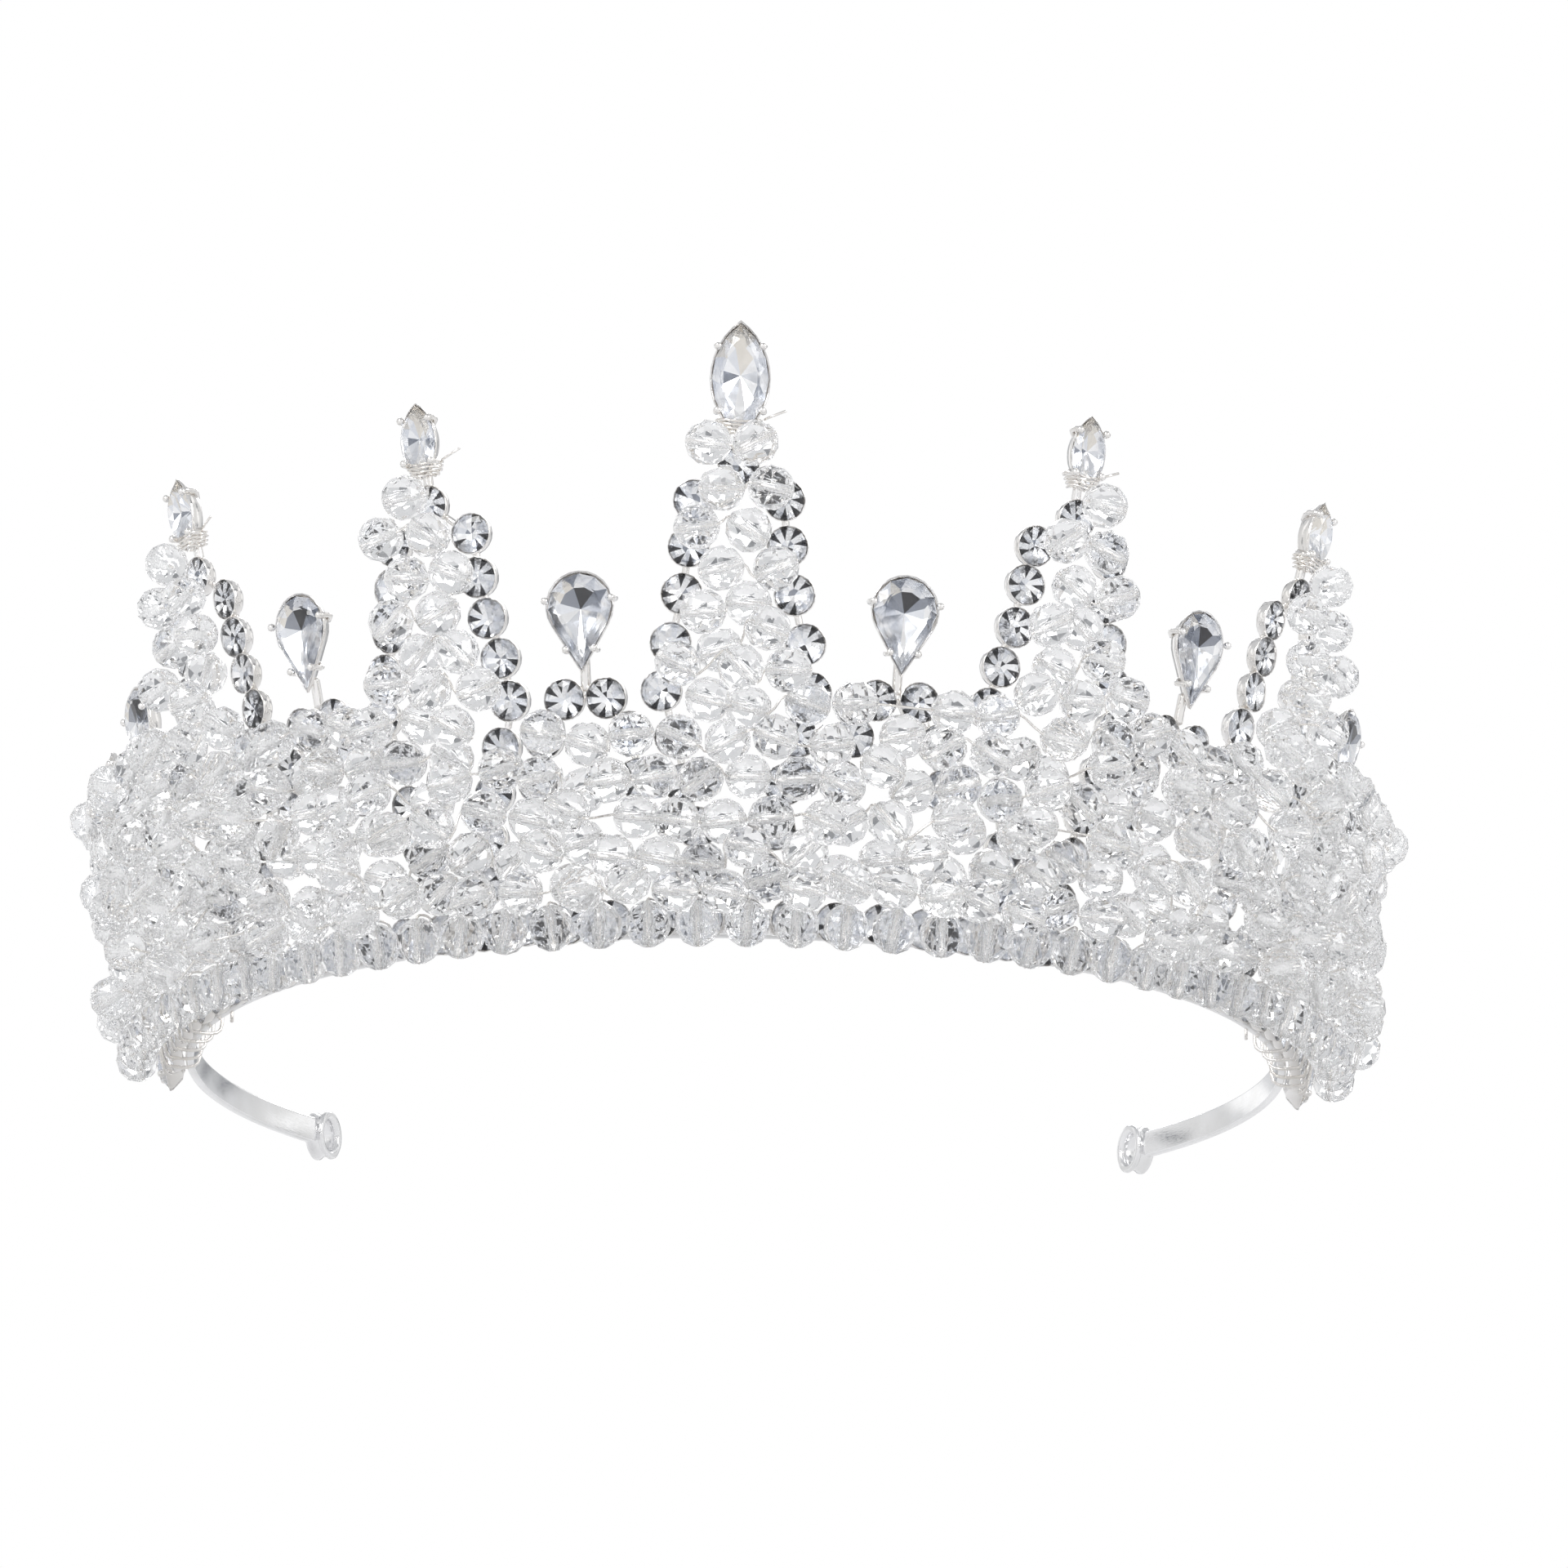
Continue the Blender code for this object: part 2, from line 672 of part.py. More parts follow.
def binding_wire(side):
    """Fine wire wound round the headband and the base chain, to hold them together."""
    loop = [
        (-0.4, -0.9),
        (4.1, -1.8),
        (5.2, 0.3),
        (5.15, 2.3),
        (4.2, 3.0),
        (0.4, 3.0),
        (-0.45, 2.3),
    ]
    count = BIND_TURNS * len(loop)
    angles = np.radians(np.linspace(BIND_START, BIND_END, count)) * side
    frame = wall_frame(angles[count // 2], 0.0, 0.0)
    name = "binding_wire_" + SIDES[side]
    curve = bpy.data.curves.new(name, "CURVE")
    curve.dimensions = "3D"
    curve.bevel_depth = WIRE_RADIUS * MM
    curve.bevel_resolution = 0
    curve.use_fill_caps = True
    spline = curve.splines.new("POLY")
    spline.points.add(count - 1)
    for i, point in enumerate(spline.points):
        place = metres(wall_point(angles[i], *loop[i % len(loop)]))
        point.co = (*(frame.inverted() @ place), 1.0)
    adopt(bpy.data.objects.new(name, curve), SILVER, frame)


def end_drop(side):
    """A small marquise in its claws at the lower corner, pointing down."""
    phi = math.radians(side * END_DROP)
    outline, claws = marquise_outline(8.0, 4.2)
    outline = [(-x, -y) for x, y in outline]
    shell = bmesh.new()
    plate = back_plate(shell, phi, END_DROP_HEIGHT, outline)
    for i in claws:
        claw(shell, plate, plate.sides[i])
    frame = wall_frame(phi, END_DROP_HEIGHT, 0.0)
    finish_on_wall("end_setting_" + SIDES[side], shell, SILVER, frame)
    set_stone("end_stone_" + SIDES[side], phi, END_DROP_HEIGHT, outline)


def seat_on_base(tiara):
    """Moves the tiara so that the middle of its lowest plane stands at the origin."""
    bpy.context.view_layer.update()
    points = [
        made.matrix_world @ vertex.co
        for made in tiara.children
        if made.type == "MESH"
        for vertex in made.data.vertices
    ]
    low = [min(point[k] for point in points) for k in range(3)]
    high = [max(point[k] for point in points) for k in range(3)]
    tiara.location = (-(low[0] + high[0]) / 2, -(low[1] + high[1]) / 2, -low[2])


def main():
    for made in list(bpy.data.objects):
        bpy.data.objects.remove(made, do_unlink=True)
    tiara = bpy.data.objects.new("tiara", None)
    bpy.context.scene.collection.objects.link(tiara)
    headband()
    base_chains()
    for side in SIDES:
        eyelet(side)
        binding_wire(side)
        end_drop(side)
    for station in range(-6, 7):
        if abs(station) in SPIRE_STONES:
            spire_frame(station)
        else:
            crest_frame(station)
    bead_strands()
    seat_on_base(tiara)


main()
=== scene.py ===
import math

import bmesh
import bpy
import numpy as np
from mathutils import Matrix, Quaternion, Vector


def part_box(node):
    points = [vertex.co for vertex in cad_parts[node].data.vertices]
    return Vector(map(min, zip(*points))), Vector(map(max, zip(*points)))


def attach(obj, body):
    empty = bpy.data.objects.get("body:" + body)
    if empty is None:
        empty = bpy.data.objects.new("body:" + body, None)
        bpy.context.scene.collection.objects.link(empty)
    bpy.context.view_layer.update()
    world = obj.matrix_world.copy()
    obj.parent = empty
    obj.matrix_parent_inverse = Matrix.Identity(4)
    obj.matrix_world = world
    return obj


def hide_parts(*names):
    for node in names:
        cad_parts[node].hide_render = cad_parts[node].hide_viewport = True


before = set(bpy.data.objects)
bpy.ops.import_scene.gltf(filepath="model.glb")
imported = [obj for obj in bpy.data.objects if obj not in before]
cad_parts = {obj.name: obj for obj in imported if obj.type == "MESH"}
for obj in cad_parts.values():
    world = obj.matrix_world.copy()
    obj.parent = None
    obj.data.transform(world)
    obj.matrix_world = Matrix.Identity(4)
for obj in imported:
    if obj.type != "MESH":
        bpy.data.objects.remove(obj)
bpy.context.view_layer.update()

MM = 0.001

# Layout of the CAD part, in millimetres and degrees

# Headband and eyelets
HALF_WIDTH = 64.0
HALF_DEPTH = 67.0
FLARE = math.radians(12.0)
BAND_END = 126.0
BAND_HEIGHT = 3.2
BAND_LIFT = 0.4
BAND_THICKNESS = 1.0
EYELET_RADIUS = 3.0
EYELET_HOLE = 1.85
EYELET_DEPTH = 2.4
EYELET_TURN = math.radians(12.0)
SOLDER_GAP = 0.3

# Stone-set cups along the band
CUP_RADIUS = 2.3
CUP_RIM = 2.2
BASE_CUP_HEIGHT = 2.3
BASE_CUP_PITCH = 4.2
BASE_CUPS = 43
BASE_SEGMENTS = 5

# Stations round the front: spires at even numbers, lower crests at odd numbers and at the ends.
# The stations are spaced by hand, so STATION_SHIFT holds those that stand off the even pitch.
STATION_PITCH = 13.75
STATION_SHIFT = {-4: 0.6, -1: -0.6, 0: -1.2, 1: -1.0, 3: 0.3}

# The lower and upper tip of each station's claw-set stone, the stones' widths, and how far below
# the stone the nearest cup lies
SPIRE_STONES = {0: (54.4, 66.4), 2: (52.0, 60.0), 4: (51.2, 59.2)}
CREST_STONES = {1: (29.4, 39.9), 3: (31.5, 42.0), 5: (29.4, 39.9), 6: (29.4, 37.2)}
STONE_GIRDLE = 2.9
MIDDLE_WIDTH = 6.2
MARQUISE_WIDTH = 4.2
PEAR_WIDTH = 7.2
APEX_DROP = 3.2
CREST_DROP = 2.9
CREST_HEAD = 27.7

# Cups up each side of a spire as (half-width, height), and down each side of a crest as
# (half-width, drop from its head). Above the last height a spire narrows to its apex.
SPIRE_CUPS = [(3.2, 7.2), (4.3, 12.0), (5.3, 16.8), (6.6, 21.8), (8.0, 26.8)]
CREST_CUPS = [(2.45, 0.0), (4.7, 4.1), (5.6, 8.9)]
SPIRE_PITCH = 5.0
APEX_PITCH = 3.6
APEX_HALF = 4.7
SPIRE_SPREAD = 2.5

# Glass beads: the hem row, then rows that climb the band from it
HEM_HEIGHT = 1.7
HEM_PITCH = 4.35
HEM_BEADS = 41
HEM_SEGMENTS = 5
BAND_ROWS = 7
ROW_BEADS = 47
BEAD_PITCH = 3.6
BEAD_ROW = 3.68

# The last band row is left open over the front. OPENINGS are the other gaps in the rows, as
# (row, place from the left end).
TOP_ROW_START = 60.0
OPENINGS = {(3, 20), (5, 17), (5, 18), (5, 26), (6, 26), (6, 27)} | {(6, k) for k in range(17, 22)}

# How the threaded beads settle. Each row is shaken, then pushed apart to BEAD_CLEARANCE. A bead
# lies at BEAD_REACH over a cup, sinks as far as BEAD_SINK between cups, and keeps its middle
# BEAD_OFF_CUP from a cup's rim. Past HEM_TURN the hem lies HEM_OUT further out.
BEAD_SEED = 8
BEAD_SHAKE = (0.5, 0.4, 1.4)
BEAD_CLEARANCE = 5.1
BEAD_MARGIN = 0.02
BEAD_REACH = 5.35
BEAD_NEST = 0.8
BEAD_SINK = 3.4
BEAD_OFF_CUP = 3.0
HEM_TURN = 52.0
HEM_RUN = 10.0
HEM_OUT = 0.55
SETTLE_STEPS = 200

# Pairs of beads up each spire, as (how many pairs, their pitch). One of a pair lies deeper than
# the other, and the pairs sway from side to side.
COLUMNS = {0: (6, 4.1), 2: (4, 4.5), 4: (4, 4.4)}
COLUMN_HALF = 2.35
COLUMN_DEPTH = 1.2
COLUMN_SWAY = 0.6

# Binding wire and hanging stone at each end
BIND_START = 66.0
BIND_END = 88.0
BIND_TURNS = 6
END_DROP = 92.5
END_DROP_HEIGHT = 3.2
END_DROP_LENGTH = 8.0

SIDES = {-1: "left", 1: "right"}

# What the fine pieces add. The shares say how often a round stone's slim facets carry a painted
# dark reflection.
BEAD_RADIUS = 2.55
BEAD_SIDES = 10
HOLE_RADIUS = 0.17
THREAD_RADIUS = 0.14
BINDING_RADIUS = 0.2
STONE_RADIUS = 2.1
STONE_SEAT = 2.02
LINK_REACH = 1.15
LINK_RADIUS = 0.42
STEM_RADIUS = 0.55
CLAW_RADIUS = 0.3
CLAW_BALL = 0.45
PAINTED_DARK_SHARE = 0.65
BASE_PAINTED_DARK_SHARE = 0.3
GLASS_IOR = 1.52

# The camera looks up at the tiara from a little below it. FRAME_WIDTH is how much of the world,
# in metres, the frame spans at the target. Light needs many bounces to cross the beads.
CAMERA_DISTANCE = 0.75
FRAME_WIDTH = 0.18641
SENSOR_WIDTH = 36.0
TARGET_HEIGHT = 0.030
CAMERA_SHIFT = (0.02865, 0.03281)
CAMERA_AZIMUTH = math.radians(-0.8)
CAMERA_ELEVATION = math.radians(-15.2)
CAMERA_ROLL = math.radians(0.8)
CAMERA_SIDE = Vector(
    (
        math.sin(CAMERA_AZIMUTH) * math.cos(CAMERA_ELEVATION),
        -math.cos(CAMERA_AZIMUTH) * math.cos(CAMERA_ELEVATION),
        math.sin(CAMERA_ELEVATION),
    )
)
LIGHT_BOUNCES = 32

# Where the middle of the headband's curve stands in the frame, in metres
BAND_LOW, BAND_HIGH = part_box("headband")
WALL = np.array(
    [
        (BAND_LOW.x + BAND_HIGH.x) / 2,
        BAND_LOW.y + (HALF_DEPTH + BAND_THICKNESS / 2) * MM,
        BAND_LOW.z - BAND_LIFT * MM,
    ]
)


# The wall


def speed(phi):
    return math.hypot(HALF_WIDTH * math.cos(phi), HALF_DEPTH * math.sin(phi))


def wall_axes(phi):
    """Unit vectors at phi: along the band, up the flared wall, and out of it."""
    along = np.array([HALF_WIDTH * math.cos(phi), HALF_DEPTH * math.sin(phi), 0.0])
    along /= np.linalg.norm(along)
    level = np.array([along[1], -along[0], 0.0])
    up = math.sin(FLARE) * level + math.cos(FLARE) * np.array([0.0, 0.0, 1.0])
    return along, up, np.cross(along, up)


def band_point(phi):
    return np.array([HALF_WIDTH * math.sin(phi), -HALF_DEPTH * math.cos(phi), 0.0])


def wall_point(phi, v, w):
    _, up, out = wall_axes(phi)
    return band_point(phi) + v * up + w * out


def beside(phi, u, v, w):
    """The angle that lies u mm along the wall from phi, at height v and reach w."""
    return phi + u / (speed(phi) + v * math.sin(FLARE) + w)


def station_angle(station):
    """Where a station stands: on the even pitch, but for what the maker's hand shifted it."""
    return math.radians(station * STATION_PITCH + STATION_SHIFT.get(station, 0.0))


def station_name(station):
    if station == 0:
        return "center"
    return f"{SIDES[1 if station > 0 else -1]}_{abs(station)}"


# Materials


class Nodes:
    """A material's node tree, with short calls to add and link nodes."""

    def __init__(self, name):
        self.material = bpy.data.materials.new(name)
        self.material.use_nodes = True
        self.tree = self.material.node_tree
        self.shader = self.tree.nodes["Principled BSDF"]
        self.output = self.tree.nodes["Material Output"]

    def add(self, kind, **inputs):
        """A new node. An underscore in an input's name stands for a space."""
        node = self.tree.nodes.new(kind)
        for name, value in inputs.items():
            self.put(node, name.replace("_", " "), value)
        return node

    def put(self, node, name, value):
        socket = node.inputs[name]
        if isinstance(value, bpy.types.NodeSocket):
            self.tree.links.new(value, socket)
        else:
            socket.default_value = value

    def noise(self, scale, detail=2.0, stretch=(1.0, 1.0, 1.0)):
        """Noise over the object's own metres, stretched by axis."""
        place = self.add("ShaderNodeTexCoord")
        sized = self.add("ShaderNodeMapping", Scale=stretch)
        self.put(sized, "Vector", place.outputs["Object"])
        noise = self.add("ShaderNodeTexNoise", Scale=scale, Detail=detail)
        self.put(noise, "Vector", sized.outputs["Vector"])
        return noise.outputs["Fac"]

    def ranged(self, value, low, high, start=0.3, end=0.7):
        """Carries start..end over to low..high."""
        node = self.add("ShaderNodeMapRange", Value=value)
        node.inputs["From Min"].default_value = start
        node.inputs["From Max"].default_value = end
        node.inputs["To Min"].default_value = low
        node.inputs["To Max"].default_value = high
        return node.outputs["Result"]

    def blend(self, factor, one, other):
        node = self.add("ShaderNodeMix")
        node.data_type = "RGBA"
        self.put(node, "Factor", factor)
        colours = [s for s in node.inputs if s.type == "RGBA"]
        colours[0].default_value = (*one, 1.0)
        colours[1].default_value = (*other, 1.0)
        return next(s for s in node.outputs if s.type == "RGBA")

    def bump(self, height, strength, distance):
        node = self.add("ShaderNodeBump", Height=height, Strength=strength, Distance=distance)
        self.put(self.shader, "Normal", node.outputs["Normal"])

    def set(self, **inputs):
        for name, value in inputs.items():
            self.put(self.shader, name.replace("_", " "), value)


def silver(name, warm, rough, scale=900.0):
    """Bright plate with faint polishing marks and slight tarnish in patches."""
    nodes = Nodes(name)
    patches = nodes.noise(160.0, 3.0)
    colour = nodes.blend(
        nodes.ranged(patches, 0.0, 1.0, 0.35, 0.65),
        (0.93, 0.93 - 0.02 * warm, 0.94 - 0.05 * warm),
        (0.85, 0.85 - 0.03 * warm, 0.85 - 0.07 * warm),
    )
    marks = nodes.noise(scale, 4.0, (1.0, 1.0, 6.0))
    nodes.bump(marks, 0.25, 0.00004)
    nodes.set(Base_Color=colour, Metallic=1.0, Roughness=nodes.ranged(marks, *rough))
    return nodes.material


def glass(name, tint, rough, ripple):
    """Clear glass with hair-fine polishing marks on its facets."""
    nodes = Nodes(name)
    marks = nodes.noise(700.0, 2.0)
    nodes.bump(marks, ripple, 0.00002)
    colour = nodes.blend(nodes.noise(90.0, 1.0), tint, [min(1.0, t * 1.02) for t in tint])
    nodes.set(Base_Color=colour, Roughness=nodes.ranged(marks, *rough))
    nodes.set(Transmission_Weight=1.0, IOR=GLASS_IOR)
    return nodes.material


def drilled(name):
    """The ground wall of a drilled hole: streaky, half-frosted glass, pale, with a faint painted
    glow in streaks standing in for the light it scatters.
    """
    nodes = Nodes(name)
    streaks = nodes.noise(2600.0, 2.0)
    nodes.bump(streaks, 0.6, 0.00005)
    nodes.set(Base_Color=(0.98, 0.98, 0.985, 1.0), Roughness=nodes.ranged(streaks, 0.1, 0.45))
    nodes.set(Transmission_Weight=0.85, IOR=GLASS_IOR)
    # Painted glow: the hole's wall emits a little white light in streaks, in place of light
    # scattered in the ground glass
    nodes.set(Emission_Color=(1.0, 1.0, 1.0, 1.0))
    nodes.set(Emission_Strength=nodes.ranged(streaks, 0.0, 0.12))
    return nodes.material


def foil_and_painted_reflection(name, one, other):
    """The mirror coat behind a facet, a little bluer or warmer from place to place. Its darker and
    tinted copies are painted reflections of the room and a painted warm glint.
    """
    nodes = Nodes(name)
    colour = nodes.blend(nodes.noise(420.0, 1.0), one, other)
    roughness = nodes.ranged(nodes.noise(900.0), 0.08, 0.22)
    nodes.set(Base_Color=colour, Metallic=1.0, Roughness=roughness)
    return nodes.material


# The stones' materials by place in their list: clear glass, the white mirror coat, then painted
# reflections in pale blue, grey and dark, and a painted warm glint
GLASS, WHITE, PALE_PAINTED_REFLECTION, GREY_PAINTED_REFLECTION, DARK_PAINTED_REFLECTION, WARM_PAINTED_GLINT = range(6)


# Meshes


class Shell:
    """Points in millimetres and faces, gathered from many closed bodies."""

    def __init__(self):
        self.points = []
        self.faces = []
        self.kinds = []
        self.smooth = []
        self.count = 0

    def add(self, points, faces, kinds=0, smooth=False):
        """Adds one body. kinds is a material index, or one for each face."""
        points = np.asarray(points, float)
        self.points.append(points)
        first = self.count
        self.faces.extend(tuple(first + k for k in face) for face in faces)
        self.kinds.extend([kinds] * len(faces) if isinstance(kinds, int) else kinds)
        self.smooth.extend([smooth] * len(faces))
        self.count += len(points)


def make_piece(name, shell, materials, replaced=None, sharp=None):
    """One visible piece, in the row frame, riding on the only body."""
    mesh = bpy.data.meshes.new(name)
    points = np.concatenate(shell.points) * MM + WALL
    mesh.from_pydata(points.tolist(), [], shell.faces)
    mesh.polygons.foreach_set("material_index", shell.kinds)
    mesh.polygons.foreach_set("use_smooth", shell.smooth)
    for material in materials:
        mesh.materials.append(material)
    work = bmesh.new()
    work.from_mesh(mesh)
    bmesh.ops.recalc_face_normals(work, faces=work.faces[:])
    work.to_mesh(mesh)
    work.free()
    if sharp:
        mesh.set_sharp_from_angle(angle=math.radians(sharp))
    made = bpy.data.objects.new(name, mesh)
    bpy.context.scene.collection.objects.link(made)
    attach(made, "root")
    if replaced:
        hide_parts(replaced)


def strips(rings):
    """Quads between closed loops of equal length, given as two first indices and a length."""
    faces = []
    for low, high, n in rings:
        for i in range(n):
            j = (i + 1) % n
            faces.append((low + i, low + j, high + j, high + i))
    return faces


def turned(profile, sides):
    """A turned body from (radius, height) points. A radius of 0 closes an end."""
    points, loops = [], []
    for radius, height in profile:
        first = len(points)
        if radius == 0:
            points.append((0.0, 0.0, height))
            loops.append((first, 1))
            continue
        for k in range(sides):
            t = 2 * math.pi * k / sides
            points.append((radius * math.cos(t), radius * math.sin(t), height))
        loops.append((first, sides))
    faces = []
    for (a, na), (b, nb) in zip(loops, loops[1:]):
        for k in range(sides):
            j = (k + 1) % sides
            if na == 1:
                faces.append((a, b + j, b + k))
            elif nb == 1:
                faces.append((a + k, a + j, b))
            else:
                faces.append((a + k, a + j, b + j, b + k))
    return np.array(points), faces


def tube(path, radius, sides=8):
    """A round wire along a path, its ends closed by low points."""
    path = np.asarray(path, float)
    n = len(path)
    ahead = np.gradient(path, axis=0)
    ahead /= np.linalg.norm(ahead, axis=1)[:, None]
    side = np.cross(ahead[0], [0.3, 0.2, 0.93])
    points = []
    for k in range(n):
        side = side - ahead[k] * (side @ ahead[k])
        side = side / np.linalg.norm(side)
        over = np.cross(ahead[k], side)
        for t in np.arange(sides) * 2 * math.pi / sides:
            points.append(path[k] + radius * (math.cos(t) * side + math.sin(t) * over))
    faces = strips([(k * sides, (k + 1) * sides, sides) for k in range(n - 1)])
    for end, first in ((0, 0), (n - 1, (n - 1) * sides)):
        tip = len(points)
        points.append(path[end] + ahead[end] * radius * (0.6 if end else -0.6))
        faces.extend((first + i, first + (i + 1) % sides, tip) for i in range(sides))
    return np.array(points), faces


def smoothed(points, steps):
    """A Catmull-Rom curve through the points."""
    points = np.asarray(points, float)
    n = len(points)
    made = []
    for i in range(n - 1):
        p = [points[min(max(i + k, 0), n - 1)] for k in (-1, 0, 1, 2)]
        for k in range(steps):
            t = k / steps
            made.append(
                0.5
                * (
                    2 * p[1]
                    + (p[2] - p[0]) * t
                    + (2 * p[0] - 5 * p[1] + 4 * p[2] - p[3]) * t**2
                    + (3 * p[1] - p[0] - 3 * p[2] + p[3]) * t**3
                )
            )
    made.append(points[-1])
    return np.array(made)


def ball(radius):
    """A small smooth ball."""
    rings = [(0, -radius)]
    for k in range(1, 6):
        t = math.pi * k / 6
        rings.append((radius * math.sin(t), -radius * math.cos(t)))
    rings.append((0, radius))
    return turned(rings, 10)


# Headband and eyelets


def make_headband(metal):
    """The strip, its section rounded at the corners, carried round the head."""
    half, c = BAND_THICKNESS / 2, 0.3
    low, high = BAND_LIFT, BAND_LIFT + BAND_HEIGHT
    section = []
    for (w, z), turn in (
        ((half - c, low + c), -90),
        ((half - c, high - c), 0),
        ((c - half, high - c), 90),
        ((c - half, low + c), 180),
    ):
        for k in range(5):
            t = math.radians(turn + 22.5 * k)
            section.append((w + c * math.cos(t), z + c * math.sin(t)))
    n = len(section)
    points = []
    steps = 180
    for phi in np.radians(np.linspace(-BAND_END, BAND_END, steps + 1)):
        along = wall_axes(phi)[0]
        level = np.array([along[1], -along[0], 0.0])
        points.extend(band_point(phi) + w * level + np.array([0, 0, z]) for w, z in section)
    faces = strips([(k * n, (k + 1) * n, n) for k in range(steps)])
    faces.append(tuple(range(n)))
    faces.append(tuple(range(steps * n, steps * n + n)))
    shell = Shell()
    shell.add(points, faces, smooth=True)
    make_piece("headband_strip", shell, [metal], "headband", sharp=50)


def make_eyelet(side, metal):
    """A ring with flared lips, and a drop of solder where its rim meets the strip's end."""
    phi = math.radians(side * BAND_END)
    along = wall_axes(phi)[0] * side
    turn = math.atan2(along[1], along[0]) - side * EYELET_TURN
    aim = np.array([math.cos(turn), math.sin(turn), 0.0])
    axis = np.array([aim[1], -aim[0], 0.0])
    up = np.array([0.0, 0.0, 1.0])
    centre = band_point(phi) + (EYELET_RADIUS + SOLDER_GAP + 0.1) * aim
    centre = centre + up * (BAND_LIFT + BAND_HEIGHT / 2)
    half = EYELET_DEPTH / 2
    profile = [
        (EYELET_HOLE, 0.0),
        (EYELET_HOLE + 0.03, half * 0.55),
        (EYELET_HOLE + 0.2, half * 0.88),
        (EYELET_HOLE + 0.5, half),
        (EYELET_RADIUS - 0.25, half),
        (EYELET_RADIUS - 0.02, half - 0.16),
        (EYELET_RADIUS, half - 0.36),
        (EYELET_RADIUS - 0.2, half - 0.6),
        (EYELET_RADIUS - 0.4, 0.0),
    ]
    profile = profile + [(r, -h) for r, h in reversed(profile[1:-1])]
    sides = 48
    points = []
    for r, h in profile:
        for k in range(sides):
            t = 2 * math.pi * k / sides
            points.append(centre + r * (math.cos(t) * aim + math.sin(t) * up) + h * axis)
    n = len(profile)
    faces = strips([(k * sides, ((k + 1) % n) * sides, sides) for k in range(n)])
    shell = Shell()
    shell.add(points, faces, smooth=True)
    drop, drop_faces = ball(1.0)
    seat = centre - aim * (EYELET_RADIUS - 0.1)
    frame_of = np.array([aim * 0.75, axis * 0.55, up * 1.35])
    shell.add(seat + drop @ frame_of, drop_faces, smooth=True)
    name = "eyelet_" + SIDES[side]
    make_piece(name + "_ring", shell, [metal], name)


# Cups with round stones


def cup_form():
    """A cup's wall and floor, for a stone whose girdle sits just under the rim."""
    r = CUP_RADIUS
    profile = [
        (0, 0.72),
        (r * 0.62, 0.74),
        (r * 0.86, 0.86),
        (r * 0.95, 1.08),
        (r * 0.985, 1.6),
        (r, 2.05),
        (r - 0.03, 2.18),
        (r - 0.08, 2.2),
        (r - 0.13, 2.12),
        (r - 0.15, 1.95),
        (r - 0.24, 1.5),
        (r * 0.5, 1.0),
        (0, 0.86),
    ]
    return turned(profile, 20)


def round_stone_form():
    """A brilliant-cut round stone of unit radius: table, crown and low pointed back.

    The back's facets come in eighths of four: two slim wedges, a wide one and one at the middle.
    """
    points = []

    def ring(radius, height, n, offset):
        first = len(points)
        for k in range(n):
            t = 2 * math.pi * (k + offset) / n
            points.append((radius * math.cos(t), radius * math.sin(t), height))
        return first

    table = ring(0.62, 0.17, 8, 0.0)
    middle = ring(0.84, 0.11, 8, 0.5)
    girdle = ring(1.0, 0.02, 16, 0.0)
    under = ring(1.0, -0.03, 16, 0.0)
    back = ring(0.34, -0.23, 8, 0.5)
    tip = len(points)
    points.append((0.0, 0.0, -0.29))
    faces = [tuple(range(table, table + 8))]
    for k in range(8):
        j = (k + 1) % 8
        faces.append((table + k, table + j, middle + k))
        faces.append((table + j, middle + k, girdle + 2 * j, middle + j))
        faces.append((middle + k, girdle + 2 * k, girdle + 2 * k + 1))
        faces.append((middle + k, girdle + 2 * k + 1, girdle + 2 * j))
    for k in range(16):
        j = (k + 1) % 16
        faces.append((girdle + k, girdle + j, under + j, under + k))
    for k in range(8):
        j = (k + 1) % 8
        faces.append((back + k, under + 2 * k, under + 2 * k + 1))
        faces.append((back + k, under + 2 * k + 1, under + 2 * j))
        faces.append((under + 2 * j, back + k, back + j))
        faces.append((tip, back + j, back + k))
    return np.array(points), faces


def round_stone_tones(rng, dark):
    """Which facets of the back carry painted dark reflections, in place of the dark side of the
    room that each stone would catch.
    """
    # The table, the crown and the girdle come first, and are clear
    kinds = [GLASS] * (1 + 8 * 4 + 16)
    for k in range(8):
        slim = [DARK_PAINTED_REFLECTION, WHITE] if rng.random() < dark else [PALE_PAINTED_REFLECTION, WHITE]
        wide = WHITE if rng.random() < 0.8 else PALE_PAINTED_REFLECTION
        shares = [0.6 - 0.2 * dark, 0.25, 0.15, 0.2 * dark]
        centre = rng.choice([WHITE, PALE_PAINTED_REFLECTION, GREY_PAINTED_REFLECTION, DARK_PAINTED_REFLECTION], p=shares)
        kinds += slim + [wide, int(centre)]
    return kinds


CUP = cup_form()
ROUND_STONE = round_stone_form()


def add_cup(metal, stones, phi, v, rng, dark=PAINTED_DARK_SHARE):
    """One cup and its stone, each set a little off true as by hand."""
    along, up, out = wall_axes(phi)
    lean = rng.normal(0.0, 0.05, 2)
    out = out + lean[0] * along + lean[1] * up
    out /= np.linalg.norm(out)
    along = np.cross(up, out)
    along /= np.linalg.norm(along)
    up = np.cross(out, along)
    seat = wall_point(phi, v, 0.0)
    turn = rng.uniform(0, math.pi / 4)
    one = math.cos(turn) * along + math.sin(turn) * up
    other = math.cos(turn) * up - math.sin(turn) * along
    points, faces = CUP
    metal.add(seat + points @ np.array([along, up, out]), faces, smooth=True)
    points, faces = ROUND_STONE
    middle = seat + STONE_SEAT * out
    placed = middle + STONE_RADIUS * (points @ np.array([one, other, out]))
    stones.add(placed, faces, round_stone_tones(rng, dark))


